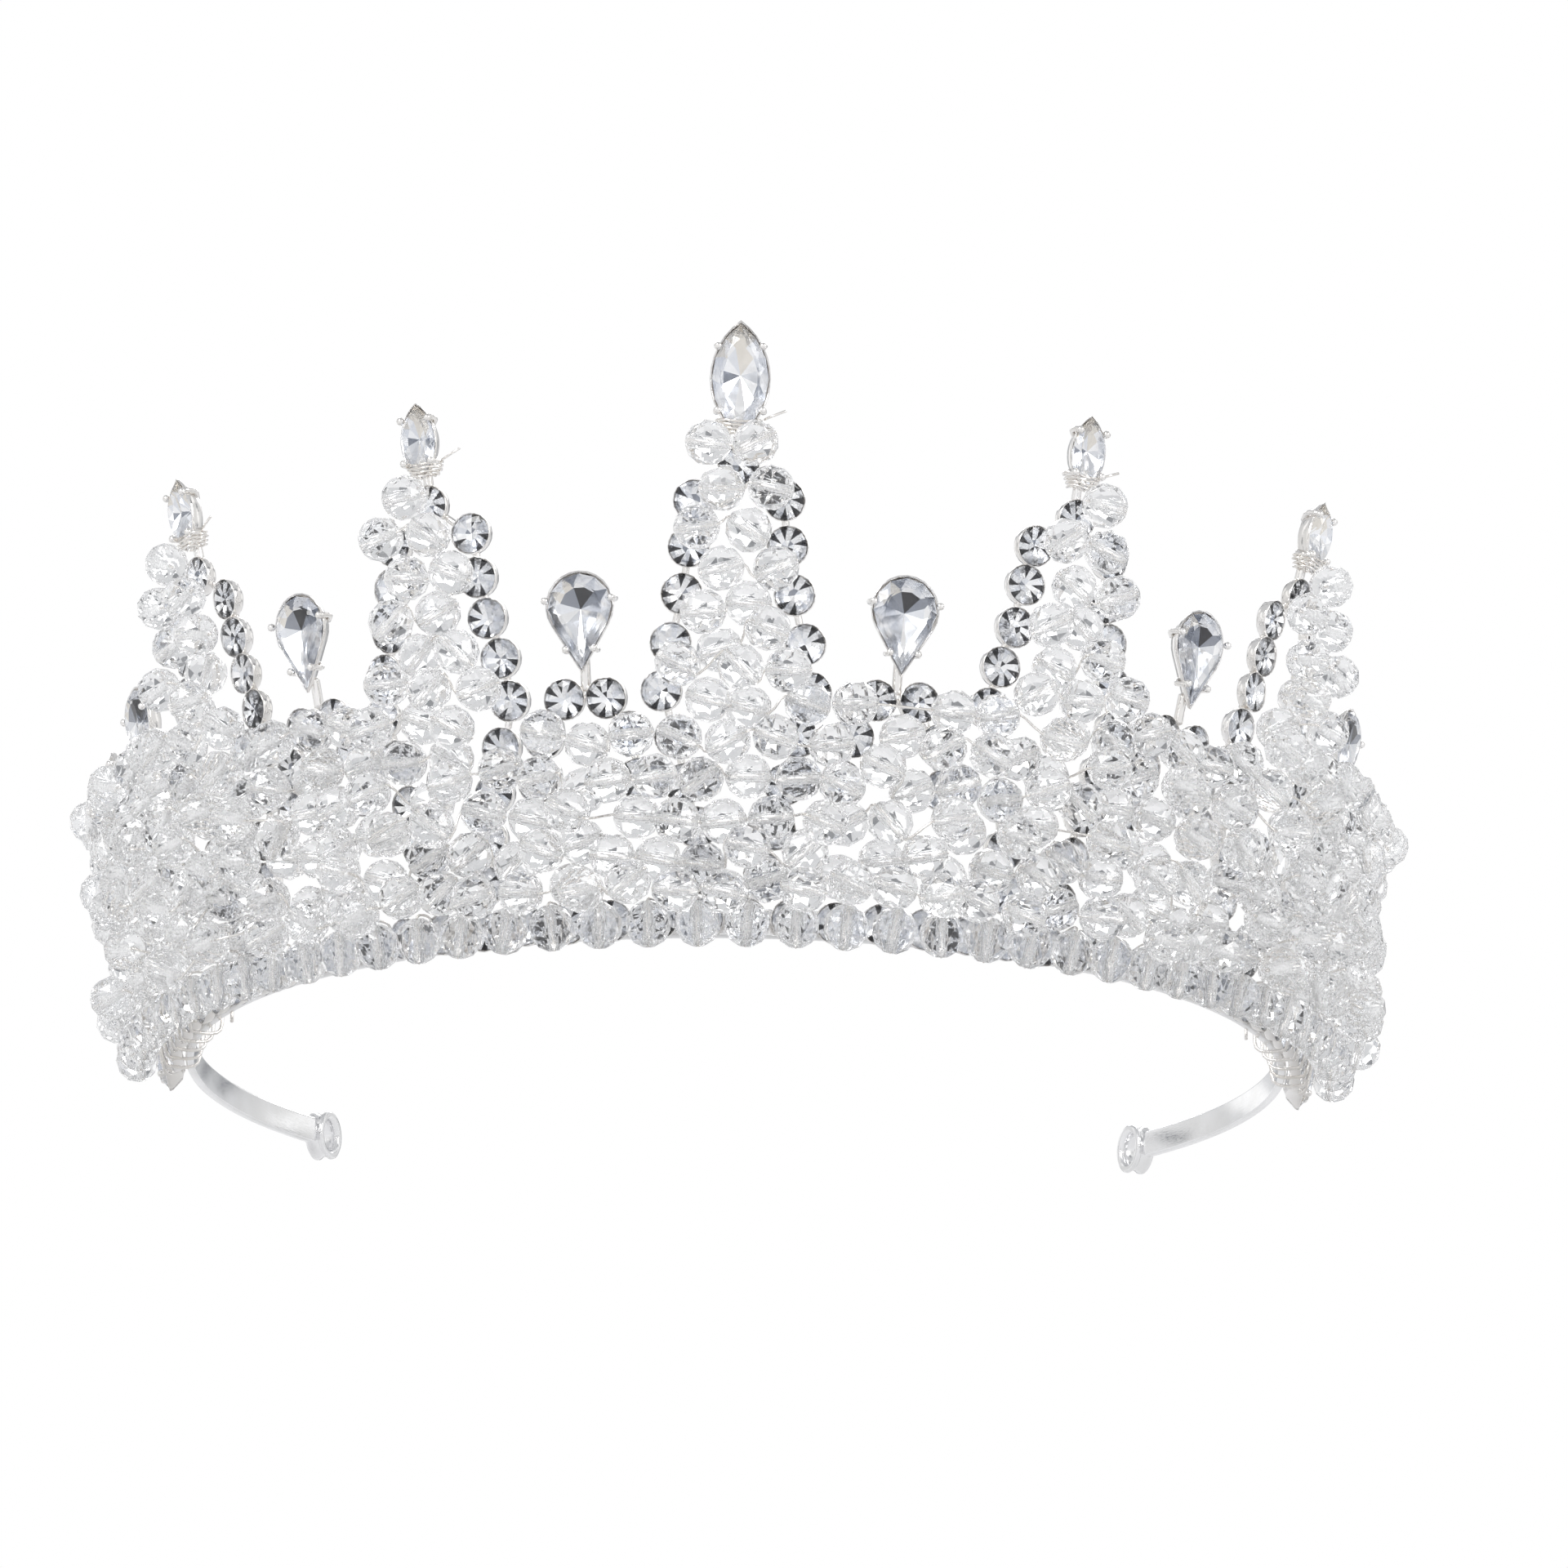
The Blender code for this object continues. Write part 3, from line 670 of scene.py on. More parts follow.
def add_link(metal, a, b):
    """The short bar of a cup chain between two cups."""
    start = wall_point(*a, LINK_REACH)
    end = wall_point(*b, LINK_REACH)
    path = [start + (end - start) * t for t in (0.3, 0.45, 0.55, 0.7)]
    metal.add(*tube(path, LINK_RADIUS, 8), smooth=True)


# Claw settings and cut stones


def marquise(length, width, flip=1):
    """The pointed oval as a function of a turn from 0 to 1, starting at its top tip."""
    half, waist = length / 2, width / 2
    arc = (half**2 + waist**2) / (2 * waist)
    span = math.asin(half / arc)

    def at(t):
        t = t % 1.0
        side = 1 if t < 0.5 else -1
        s = (t * 4 - 1) if t < 0.5 else (3 - t * 4)
        bend = -s * span
        return side * (arc * math.cos(bend) - arc + waist) * flip, arc * math.sin(bend) * flip

    return at


def pear(length, width):
    """The drop, round end up, as a function of a turn from 0 to 1 that starts at its top."""
    radius = width / 2
    middle = length / 2 - radius
    tip = -length / 2
    rise = math.asin(radius / (middle - tip))
    arc = radius * (math.pi / 2 + rise)
    low = np.array([0.0, tip])
    shoulder = np.array([radius * math.cos(-rise), middle + radius * math.sin(-rise)])
    flank = np.linalg.norm(shoulder - low)

    def at(t):
        t = t % 1.0
        side = 1 if t < 0.5 else -1
        run = (t if t < 0.5 else 1 - t) * 2 * (arc + flank)
        if run <= arc:
            turn = math.pi / 2 - run / radius
            x, y = radius * math.cos(turn), middle + radius * math.sin(turn)
        else:
            x, y = shoulder + (low - shoulder) * (run - arc) / flank
        return side * x, y

    return at


def cut_stone(at, n, centre, tones):
    """A faceted stone on an outline, with a wide table and a low back that meets at one point.

    tones gives the material of each facet of the back: a ring of slim pairs, then a fan.
    """
    points, faces = [], []

    def ring(scale, height, offset):
        first = len(points)
        for k in range(n):
            x, y = at((k + offset) / n)
            x, y = centre[0] + scale * (x - centre[0]), centre[1] + scale * (y - centre[1])
            points.append((x, y, height))
        return first

    def zigzag(a, b, lead):
        for k in range(n):
            j = (k + 1) % n
            if lead:
                faces.extend([(a + k, a + j, b + j), (a + k, b + j, b + k)])
            else:
                faces.extend([(a + k, a + j, b + k), (a + j, b + j, b + k)])

    girdle = ring(1.0, 0.06, 0.0)
    under = ring(1.0, -0.06, 0.0)
    for k in range(n):
        j = (k + 1) % n
        faces.append((girdle + k, girdle + j, under + j, under + k))
    crown = ring(0.88, 0.55, 0.5)
    table = ring(0.70, 0.92, 0.0)
    zigzag(girdle, crown, False)
    zigzag(crown, table, True)
    faces.append(tuple(range(table, table + n)))
    kinds = [GLASS] * len(faces)
    back = ring(0.62, -0.55, 0.5)
    zigzag(under, back, False)
    tip = len(points)
    points.append((centre[0], centre[1], -1.2))
    faces.extend((back + k, back + (k + 1) % n, tip) for k in range(n))
    return np.array(points), faces, kinds + tones


def basket(at, n, centre):
    """The metal shell behind a stone: floor, sloping wall and thin rim."""
    rings = [(0.0, 0.78), (0.5, 0.8), (0.8, 1.2), (1.04, 2.55), (1.06, 2.9), (1.035, 2.98)]
    rings += [(1.01, 2.9), (1.0, 2.6), (0.74, 1.3), (0.46, 0.95), (0.0, 0.93)]
    points, loops = [], []
    for scale, height in rings:
        first = len(points)
        if scale == 0.0:
            points.append((centre[0], centre[1], height))
        else:
            for k in range(n):
                x, y = at(k / n)
                x, y = centre[0] + scale * (x - centre[0]), centre[1] + scale * (y - centre[1])
                points.append((x, y, height))
        loops.append(first)
    faces = []
    last = len(rings) - 2
    for k in range(n):
        j = (k + 1) % n
        faces.append((loops[0], loops[1] + k, loops[1] + j))
        faces.append((loops[last + 1], loops[last] + k, loops[last] + j))
    faces += strips([(loops[i], loops[i + 1], n) for i in range(1, last)])
    return np.array(points), faces


def add_setting(metal, stones, phi, v, at, n, centre, claws, tones):
    """A claw setting and its stone, facing out of the wall at (phi, v)."""
    axes = np.array(wall_axes(phi))
    seat = wall_point(phi, v, 0.0)
    points, faces = basket(at, 2 * n, centre)
    metal.add(seat + points @ axes, faces, smooth=True)
    for t in claws:
        x, y = at(t)
        span = math.hypot(x - centre[0], y - centre[1])
        ux, uy = (x - centre[0]) / span, (y - centre[1]) / span
        if abs(y - centre[1]) > abs(x - centre[0]):
            ux, uy = math.copysign(0.85, x), math.copysign(0.53, y - centre[1])
        path = [
            (x - 0.9 * ux, y - 0.9 * uy, 1.0),
            (x + 0.12 * ux, y + 0.12 * uy, 1.7),
            (x + 0.36 * ux, y + 0.36 * uy, 2.6),
            (x + 0.34 * ux, y + 0.34 * uy, 3.2),
            (x + 0.12 * ux, y + 0.12 * uy, 3.6),
        ]
        points, faces = tube(smoothed(path, 3), CLAW_RADIUS, 8)
        metal.add(seat + points @ axes, faces, smooth=True)
        knob, knob_faces = ball(CLAW_BALL)
        tip = np.array([x + 0.16 * ux, y + 0.16 * uy, 3.5])
        metal.add(seat + (knob + tip) @ axes, knob_faces, smooth=True)
    points, faces, kinds = cut_stone(at, n, centre, tones)
    points = points * np.array([0.985, 0.985, 1.0]) + np.array([0.0, 0.0, STONE_GIRDLE])
    stones.add(seat + points @ axes, faces, kinds)


def pear_tones():
    """Painted dark reflections in two tones at the upper middle, painted pale blue reflections in
    wedges below, white towards the rim.
    """
    rim = [WHITE, PALE_PAINTED_REFLECTION, WHITE, GREY_PAINTED_REFLECTION, WHITE, WHITE, PALE_PAINTED_REFLECTION]
    rim += [WHITE, WHITE, PALE_PAINTED_REFLECTION, WHITE, WHITE, PALE_PAINTED_REFLECTION, WHITE]
    rim += [WHITE, PALE_PAINTED_REFLECTION, WHITE, WHITE, PALE_PAINTED_REFLECTION, WHITE, WHITE]
    rim += [PALE_PAINTED_REFLECTION, WHITE, WARM_PAINTED_GLINT, WHITE, WARM_PAINTED_GLINT, GREY_PAINTED_REFLECTION, WHITE]
    fan = [DARK_PAINTED_REFLECTION, GREY_PAINTED_REFLECTION, PALE_PAINTED_REFLECTION, WHITE, PALE_PAINTED_REFLECTION, PALE_PAINTED_REFLECTION, WHITE, PALE_PAINTED_REFLECTION, PALE_PAINTED_REFLECTION, WHITE, PALE_PAINTED_REFLECTION, GREY_PAINTED_REFLECTION, GREY_PAINTED_REFLECTION, DARK_PAINTED_REFLECTION]
    return rim + fan


def marquise_tones():
    """Painted warm glints near the upper tip, one painted grey reflection beside the middle,
    painted pale blue reflections and white below.
    """
    rim = [WARM_PAINTED_GLINT, WHITE, WHITE, PALE_PAINTED_REFLECTION, PALE_PAINTED_REFLECTION, WHITE, WHITE, PALE_PAINTED_REFLECTION, WHITE, WHITE, PALE_PAINTED_REFLECTION, WHITE]
    rim += [WHITE, PALE_PAINTED_REFLECTION, WHITE, WHITE, PALE_PAINTED_REFLECTION, WHITE, WHITE, PALE_PAINTED_REFLECTION, WARM_PAINTED_GLINT, WHITE, WARM_PAINTED_GLINT, WARM_PAINTED_GLINT]
    fan = [WARM_PAINTED_GLINT, WHITE, PALE_PAINTED_REFLECTION, WHITE, PALE_PAINTED_REFLECTION, WHITE, PALE_PAINTED_REFLECTION, PALE_PAINTED_REFLECTION, GREY_PAINTED_REFLECTION, WHITE, PALE_PAINTED_REFLECTION, WARM_PAINTED_GLINT]
    return rim + fan


def marquise_parts(length, width, flip=1):
    claws = (0.125, 0.375, 0.625, 0.875)
    return marquise(length, width, flip), 12, (0.0, 0.03 * length), claws, marquise_tones()


def pear_parts(length, width):
    centre = (0.0, length / 2 - width / 2 - 0.3)
    return pear(length, width), 14, centre, (0.185, 0.4, 0.6, 0.815), pear_tones()


def base_cup_angles():
    return np.radians((np.arange(BASE_CUPS) - (BASE_CUPS - 1) / 2) * BASE_CUP_PITCH)


def make_base_chains(looks, rng):
    """The chain of cups along the strip, their stones paler than those of the spires, with fewer
    painted dark reflections.
    """
    for i, group in enumerate(np.array_split(base_cup_angles(), BASE_SEGMENTS)):
        metal, stones = Shell(), Shell()
        places = [(phi, BASE_CUP_HEIGHT) for phi in group]
        for place in places:
            add_cup(metal, stones, *place, rng, dark=BASE_PAINTED_DARK_SHARE)
        for a, b in zip(places, places[1:]):
            add_link(metal, a, b)
        name = f"base_cup_chain_{i + 1}"
        make_piece(name + "_cups", metal, [looks["setting"]], name, sharp=60)
        make_piece(name + "_stones", stones, looks["stone"])


def spire_profile(apex):
    """Half-width and height of each cup up one side of a spire, below the cup at its apex."""
    shoulder = SPIRE_CUPS[-1][1]
    last = apex - APEX_PITCH
    steps = round((last - shoulder) / SPIRE_PITCH)
    heights = np.linspace(shoulder, last, steps + 1)[1:]
    halves = [APEX_HALF + SPIRE_SPREAD * (1 - i / steps) ** 2 for i in range(steps)]
    return SPIRE_CUPS + list(zip(halves, heights))


def make_frame(station, looks, rng):
    """A spire or crest: its cups and claw setting, and its stones."""
    phi = station_angle(station)
    kind = abs(station)
    spire = kind in SPIRE_STONES
    low, high = SPIRE_STONES[kind] if spire else CREST_STONES[kind]
    metal, stones, jewel = Shell(), Shell(), Shell()
    if spire:
        apex = low - APEX_DROP
        top = (phi, apex)
        add_cup(metal, stones, *top, rng)
        profile = list(reversed(spire_profile(apex)))
    else:
        head = min(low - CREST_DROP, CREST_HEAD)
        profile = [(half, head - drop) for half, drop in CREST_CUPS]
    tops = []
    for side in (-1, 1):
        above = top if spire else None
        for half, v in profile:
            each = (beside(phi, side * half, v, CUP_RIM), v)
            add_cup(metal, stones, *each, rng)
            if above:
                add_link(metal, above, each)
            else:
                tops.append(each)
            above = each
    if tops:
        add_link(metal, *tops)
    pear_top = not spire and kind != 6
    parts = pear_parts if pear_top else marquise_parts
    width = MIDDLE_WIDTH if station == 0 else MARQUISE_WIDTH
    if pear_top:
        width = PEAR_WIDTH
    middle = (low + high) / 2
    add_setting(metal, jewel, phi, middle, *parts(high - low, width))
    stem = [wall_point(phi, low + rise, w) for rise, w in ((-2.0, 1.3), (-0.4, 1.4), (1.2, 1.5))]
    metal.add(*tube(smoothed(stem, 4), STEM_RADIUS, 8), smooth=True)
    name = station_name(station)
    node = ("spire_frame_" if spire else "crest_frame_") + name
    make_piece(node + "_metal", metal, [looks["setting"]], node, sharp=60)
    make_piece(node + "_cup_stones", stones, looks["stone"])
    node = ("pear_stone_" if pear_top else "marquise_stone_") + name
    make_piece(node + "_cut", jewel, looks["stone"], node)


def make_end_drop(side, looks):
    """The small marquise at the lower corner, pointing down."""
    phi = math.radians(side * END_DROP)
    metal, jewel = Shell(), Shell()
    parts = marquise_parts(END_DROP_LENGTH, MARQUISE_WIDTH, -1)
    add_setting(metal, jewel, phi, END_DROP_HEIGHT, *parts)
    node = "end_setting_" + SIDES[side]
    make_piece(node + "_claws", metal, [looks["setting"]], node)
    node = "end_stone_" + SIDES[side]
    make_piece(node + "_cut", jewel, looks["stone"], node)


# Beads


def bead_places():
    """Every bead as (row, phi, v, w). Row 0 is the hem. Rows past the band climb the spires."""
    places = []
    for row in range(BAND_ROWS + 1):
        count = ROW_BEADS + row % 2 if row else HEM_BEADS
        pitch = BEAD_PITCH if row else HEM_PITCH
        v = HEM_HEIGHT + row * BEAD_ROW
        for k in range(count):
            degrees = (k - (count - 1) / 2) * pitch
            left_open = row == BAND_ROWS and abs(degrees) < TOP_ROW_START
            nested = BEAD_NEST * (1 if abs(degrees) < TOP_ROW_START else 2)
            w = BEAD_REACH - nested if 1 < row < BAND_ROWS else BEAD_REACH
            if not left_open and (row, k) not in OPENINGS:
                places.append((row, math.radians(degrees), v, w))
    for station in (-4, -2, 0, 2, 4):
        phi = station_angle(station)
        v = HEM_HEIGHT + BAND_ROWS * BEAD_ROW
        for u in (-2 * COLUMN_HALF, 0.0, 2 * COLUMN_HALF):
            places.append((BAND_ROWS, beside(phi, u, v, BEAD_REACH), v, BEAD_REACH))
        rows, pitch = COLUMNS[abs(station)]
        for row in range(BAND_ROWS + 1, BAND_ROWS + 1 + rows):
            v += pitch
            sway = COLUMN_SWAY * (-1) ** row
            for side in (-1, 1):
                u = side * COLUMN_HALF + sway
                w = BEAD_REACH - BEAD_NEST + COLUMN_DEPTH * side * (-1) ** row
                places.append((row, beside(phi, u, v, w), v, w))
        if station != 0:
            u = math.copysign(COLUMN_HALF / 2, station)
            v += 0.8 * pitch
            last = BAND_ROWS + 1 + rows
            places.append((last, beside(phi, u, v, BEAD_REACH), v, BEAD_REACH))
    return places


def cup_places():
    """Every cup as (phi, v)."""
    places = [(phi, BASE_CUP_HEIGHT) for phi in base_cup_angles()]
    for station in range(-6, 7):
        phi = station_angle(station)
        if abs(station) in SPIRE_STONES:
            apex = SPIRE_STONES[abs(station)][0] - APEX_DROP
            cups = [(0.0, apex)] + spire_profile(apex)
        else:
            head = min(CREST_STONES[abs(station)][0] - CREST_DROP, CREST_HEAD)
            cups = [(half, head - drop) for half, drop in CREST_CUPS]
        for side in (-1, 1):
            places.extend((beside(phi, side * half, v, CUP_RIM), v) for half, v in cups)
    return places


def loosened(places, rng):
    """The beads' centres, shaken from their rows and then pushed off each other and the cups."""
    rows = np.array([p[0] for p in places])
    phis = np.array([p[1] for p in places])
    axes = [wall_axes(phi) for phi in phis]
    along = np.array([a[0] for a in axes])
    up = np.array([a[1] for a in axes])
    out = np.array([a[2] for a in axes])
    centres = np.array([wall_point(p[1], p[2], p[3]) for p in places])
    free = (rows > 0).astype(float)[:, None]
    shake = rng.uniform(-1, 1, (len(places), 3))
    for amount, axis, k in zip(BEAD_SHAKE, (along, up, out), range(3)):
        centres += free * amount * shake[:, k : k + 1] * axis
    end = np.clip((np.abs(np.degrees(phis)) - HEM_TURN) / HEM_RUN, 0.0, 1.0)
    least = BEAD_REACH + HEM_OUT * end * (rows == 0)
    sunk = (rows > 1) & (rows != BAND_ROWS) & (rows < BAND_ROWS + 3)
    least[sunk] = BEAD_SINK
    centres += (1 - free) * (least - BEAD_REACH)[:, None] * out
    seats = np.array([wall_point(p[1], p[2], 0.0) for p in places])
    cups = np.array([wall_point(phi, v, 0.0) for phi, v in cup_places()])
    faces = np.array([wall_axes(phi)[2] for phi, v in cup_places()])
    for _ in range(SETTLE_STEPS):
        gaps = centres[:, None] - centres[None]
        apart = np.linalg.norm(gaps, axis=2) + np.eye(len(places)) * 100
        short = np.clip(BEAD_CLEARANCE + BEAD_MARGIN - apart, 0, None)
        push = (gaps / apart[:, :, None] * short[:, :, None]).sum(axis=1) * 0.5
        centres += free * push
        reach = ((centres - seats) * out).sum(axis=1)
        centres += free * np.clip(least - reach, 0, None)[:, None] * out
        across = centres[:, None] - cups[None]
        height = (across * faces[None]).sum(axis=2)
        aside = np.linalg.norm(across - height[:, :, None] * faces[None], axis=2)
        over = BEAD_OFF_CUP**2 - np.clip(aside - CUP_RADIUS, 0.0, None) ** 2
        low = np.sqrt(np.clip(over, 0.0, None)) + CUP_RIM - height
        worst = np.argmax(np.where(over > 0, low, 0.0), axis=1)
        lift = np.where(over > 0, low, 0.0)[np.arange(len(places)), worst]
        centres += free * np.clip(lift, 0, None)[:, None] * faces[worst]
    return centres


def bead_form():
    """A round faceted bead of unit radius with a drilled hole along z."""
    n = BEAD_SIDES
    polar = [16, 43, 72, 108, 137, 164]
    points, loops = [], []

    def ring(radius, height, offset):
        loops.append((len(points), offset))
        for k in range(n):
            t = 2 * math.pi * (k + offset) / n
            points.append((radius * math.cos(t), radius * math.sin(t), height))

    ring(HOLE_RADIUS, 0.93, 0.0)
    for k, degrees in enumerate(polar):
        t = math.radians(degrees)
        ring(math.sin(t), math.cos(t), 0.5 * (k % 2))
    ring(HOLE_RADIUS, -0.93, 0.5)
    faces, kinds = [], []
    pairs = list(zip(loops, loops[1:] + loops[:1]))
    for index, ((a, one), (b, other)) in enumerate(pairs):
        kind = 1 if index == len(pairs) - 1 else 0
        for k in range(n):
            j = (k + 1) % n
            if one == other:
                new = [(a + k, a + j, b + j, b + k)]
            elif one == 0.0:
                new = [(a + k, a + j, b + k), (a + j, b + j, b + k)]
            else:
                new = [(a + k, a + j, b + j), (a + k, b + j, b + k)]
            faces.extend(new)
            kinds.extend([kind] * len(new))
    return np.array(points), faces, kinds


BEAD = bead_form()


def add_bead(shell, centre, axis, rng):
    """A bead with its hole along axis, turned at random about it."""
    axis = axis / np.linalg.norm(axis)
    side = np.cross(axis, rng.normal(size=3))
    side /= np.linalg.norm(side)
    size = BEAD_RADIUS * rng.uniform(0.985, 1.0)
    points, faces, kinds = BEAD
    shape = np.array([side, np.cross(axis, side), axis])
    shell.add(centre + size * (points @ shape), faces, kinds)


def nearest_station(degrees):
    return int(np.clip(round(degrees / STATION_PITCH), -6, 6))


def thread_path(centres, axes):
    """The wire through each bead in turn, straight inside it and bowed between beads."""
    path = []
    for centre, axis in zip(centres, axes):
        if path and (path[-1] - centre) @ axis > 0:
            axis = -axis
        path.extend([centre - 2.5 * axis, centre, centre + 2.5 * axis])
    return smoothed(path, 3)


def make_beads(looks):
    rng = np.random.default_rng(BEAD_SEED)
    places = bead_places()
    centres = loosened(places, rng)
    rng = np.random.default_rng(11)
    hem = sorted((i for i, p in enumerate(places) if p[0] == 0), key=lambda i: places[i][1])
    for k, group in enumerate(np.array_split(np.array(hem), HEM_SEGMENTS)):
        beads, wires = Shell(), Shell()
        for i in group:
            along, up, out = wall_axes(places[i][1])
            axis = up + rng.normal(0, 0.12) * along + rng.normal(0, 0.08) * out
            axis /= np.linalg.norm(axis)
            add_bead(beads, centres[i], axis, rng)
            top = centres[i] + 2.6 * axis
            loop = [
                centres[i] - 2.45 * axis,
                centres[i],
                top,
                top - 1.8 * out + 0.3 * along,
                top - 3.0 * out - 0.9 * up,
            ]
            wires.add(*tube(smoothed(loop, 4), THREAD_RADIUS, 6), smooth=True)
        name = f"hem_beads_{k + 1}"
        make_piece(name + "_glass", beads, looks["bead"], name)
        make_piece(name + "_wire", wires, [looks["thread"]])
    for station in range(-6, 7):
        beads, wires = Shell(), Shell()
        for row in range(1, max(p[0] for p in places) + 1):
            held = [
                i
                for i, p in enumerate(places)
                if p[0] == row and nearest_station(math.degrees(p[1])) == station
            ]
            held.sort(key=lambda i: places[i][1])
            if not held:
                continue
            axes = []
            for i in held:
                along, up, out = wall_axes(places[i][1])
                axis = along + rng.normal(0, 0.35) * up + rng.normal(0, 0.22) * out
                axis /= np.linalg.norm(axis)
                axes.append(axis)
                add_bead(beads, centres[i], axis, rng)
            path = thread_path([centres[i] for i in held], axes)
            wires.add(*tube(path, THREAD_RADIUS, 6), smooth=True)
        name = "bead_strand_" + station_name(station)
        make_piece(name + "_glass", beads, looks["bead"], name)
        make_piece(name + "_wire", wires, [looks["thread"]])


# Wires


def make_binding(side, metal):
    """Fine wire wound round the strip and the base chain."""
    loop = [(-0.45, -0.9), (4.1, -1.7), (5.2, 0.3), (5.15, 2.3)]
    loop += [(4.2, 3.0), (0.4, 3.0), (-0.45, 2.3)]
    count = BIND_TURNS * len(loop)
    angles = np.radians(np.linspace(BIND_START, BIND_END, count)) * side
    path = [wall_point(angles[i], *loop[i % len(loop)]) for i in range(count)]
    shell = Shell()
    shell.add(*tube(smoothed(path, 5), BINDING_RADIUS, 8), smooth=True)
    name = "binding_wire_" + SIDES[side]
    make_piece(name + "_wound", shell, [metal], name)


def make_tie(station, metal, rng):
    """Fine wire wound round the foot of a spire's stone, with one stray end."""
    phi = station_angle(station)
    low = SPIRE_STONES[abs(station)][0]
    width = 1.75 if station == 0 else 1.35
    along, up, out = wall_axes(phi)
    path = []
    turns, steps = 4, 12
    for k in range(turns * steps + 1):
        t = 2 * math.pi * k / steps
        rise = low + 0.1 + 0.42 * k / steps + 0.12 * math.sin(3 * t)
        grow = 1.0 + 0.05 * rng.normal()
        path.append(
            wall_point(phi, rise, 2.0)
            + grow * (width + 0.25 * k / steps) * math.cos(t) * along
            + grow * 1.45 * math.sin(t) * out
        )
    path.append(path[-1] + 2.2 * along + 0.9 * up)
    shell = Shell()
    shell.add(*tube(smoothed(path, 2), THREAD_RADIUS, 6), smooth=True)
    make_piece("tie_wire_" + station_name(station), shell, [metal])


# Stage


def make_floor():
    """A pale floor, lit a little from within, that shows only its upper side."""
    bpy.ops.mesh.primitive_plane_add(size=4.0, location=(0.0, 0.0, 0.0))
    floor = bpy.context.object
    floor.name = "floor"
    nodes = Nodes("floor_paper")
    nodes.set(Base_Color=(0.5, 0.5, 0.505, 1.0), Roughness=0.75)
    nodes.set(Emission_Color=(1.0, 1.0, 1.0, 1.0), Emission_Strength=0.35)
    clear = nodes.add("ShaderNodeBsdfTransparent")
    side = nodes.add("ShaderNodeNewGeometry")
    mix = nodes.add("ShaderNodeMixShader")
    nodes.tree.links.new(side.outputs["Backfacing"], mix.inputs["Fac"])
    nodes.tree.links.new(nodes.shader.outputs["BSDF"], mix.inputs[1])
    nodes.tree.links.new(clear.outputs["BSDF"], mix.inputs[2])
    nodes.tree.links.new(mix.outputs["Shader"], nodes.output.inputs["Surface"])
    floor.data.materials.append(nodes.material)


class Sky:
    """The world's node tree, as short sums of directions and noise."""

    def __init__(self, world):
        world.use_nodes = True
        self.tree = world.node_tree
        self.background = self.tree.nodes["Background"]
        self.direction = self.tree.nodes.new("ShaderNodeTexCoord").outputs["Generated"]

    def link(self, source, socket):
        if isinstance(source, bpy.types.NodeSocket):
            self.tree.links.new(source, socket)
        else:
            socket.default_value = source

    def towards(self, aim):
        """The cosine of the angle between a ray and aim."""
        node = self.tree.nodes.new("ShaderNodeVectorMath")
        node.operation = "DOT_PRODUCT"
        self.link(self.direction, node.inputs[0])
        self.link(Vector(aim).normalized(), node.inputs[1])
        return node.outputs["Value"]

    def noise(self, scale, seed):
        shift = self.tree.nodes.new("ShaderNodeVectorMath")
        self.link(self.direction, shift.inputs[0])
        self.link((seed, 2.0 * seed, 3.0 * seed), shift.inputs[1])
        node = self.tree.nodes.new("ShaderNodeTexNoise")
        self.link(shift.outputs["Vector"], node.inputs["Vector"])
        self.link(scale, node.inputs["Scale"])
        self.link(1.0, node.inputs["Detail"])
        return node.outputs["Fac"]

    def step(self, value, start, end):
        """0 below start and 1 above end."""
        node = self.tree.nodes.new("ShaderNodeMapRange")
        node.interpolation_type = "SMOOTHSTEP"
        self.link(value, node.inputs["Value"])
        self.link(start, node.inputs["From Min"])
        self.link(end, node.inputs["From Max"])
        return node.outputs["Result"]

    def blend(self, factor, one, other):
        node = self.tree.nodes.new("ShaderNodeMix")
        node.data_type = "RGBA"
        self.link(factor, node.inputs["Factor"])
        for source, socket in zip((one, other), (s for s in node.inputs if s.type == "RGBA")):
            self.link(source, socket)
        return next(s for s in node.outputs if s.type == "RGBA")


def grey(value, blue=0.0):
    return (value * (1.0 - blue), value, value * (1.0 + 2.0 * blue), 1.0)


def make_studio():
    """A pale room, dimmer above and behind, with white panels, dark things and a white front."""
    world = bpy.data.worlds.new("studio")
    bpy.context.scene.world = world
    sky = Sky(world)
    room = sky.blend(sky.step(sky.towards((0, 0, 1)), 0.35, 0.75), grey(0.80), grey(0.62, 0.01))
    room = sky.blend(sky.step(sky.towards(-CAMERA_SIDE), 0.55, 0.9), room, grey(0.66, 0.01))
    panels = sky.step(sky.noise(2.4, 3.1), 0.58, 0.62)
    room = sky.blend(panels, room, grey(1.08))
    things = sky.step(sky.noise(4.2, 7.7), 0.62, 0.65)
    room = sky.blend(things, room, grey(0.25, 0.03))
    front = sky.step(sky.towards(CAMERA_SIDE), 0.80, 0.93)
    room = sky.blend(front, room, grey(1.15))
    seen = sky.tree.nodes.new("ShaderNodeLightPath").outputs["Is Camera Ray"]
    sky.link(sky.blend(seen, room, grey(1.0)), sky.background.inputs["Color"])
    sky.background.inputs["Strength"].default_value = 1.0


def add_softbox(name, place, aim, size, power):
    data = bpy.data.lights.new(name, "AREA")
    data.shape = "RECTANGLE"
    data.size, data.size_y = size
    data.energy = power
    lamp = bpy.data.objects.new(name, data)
    bpy.context.scene.collection.objects.link(lamp)
    lamp.location = place
    lamp.rotation_mode = "QUATERNION"
    lamp.rotation_quaternion = (Vector(aim) - Vector(place)).to_track_quat("-Z", "Y")


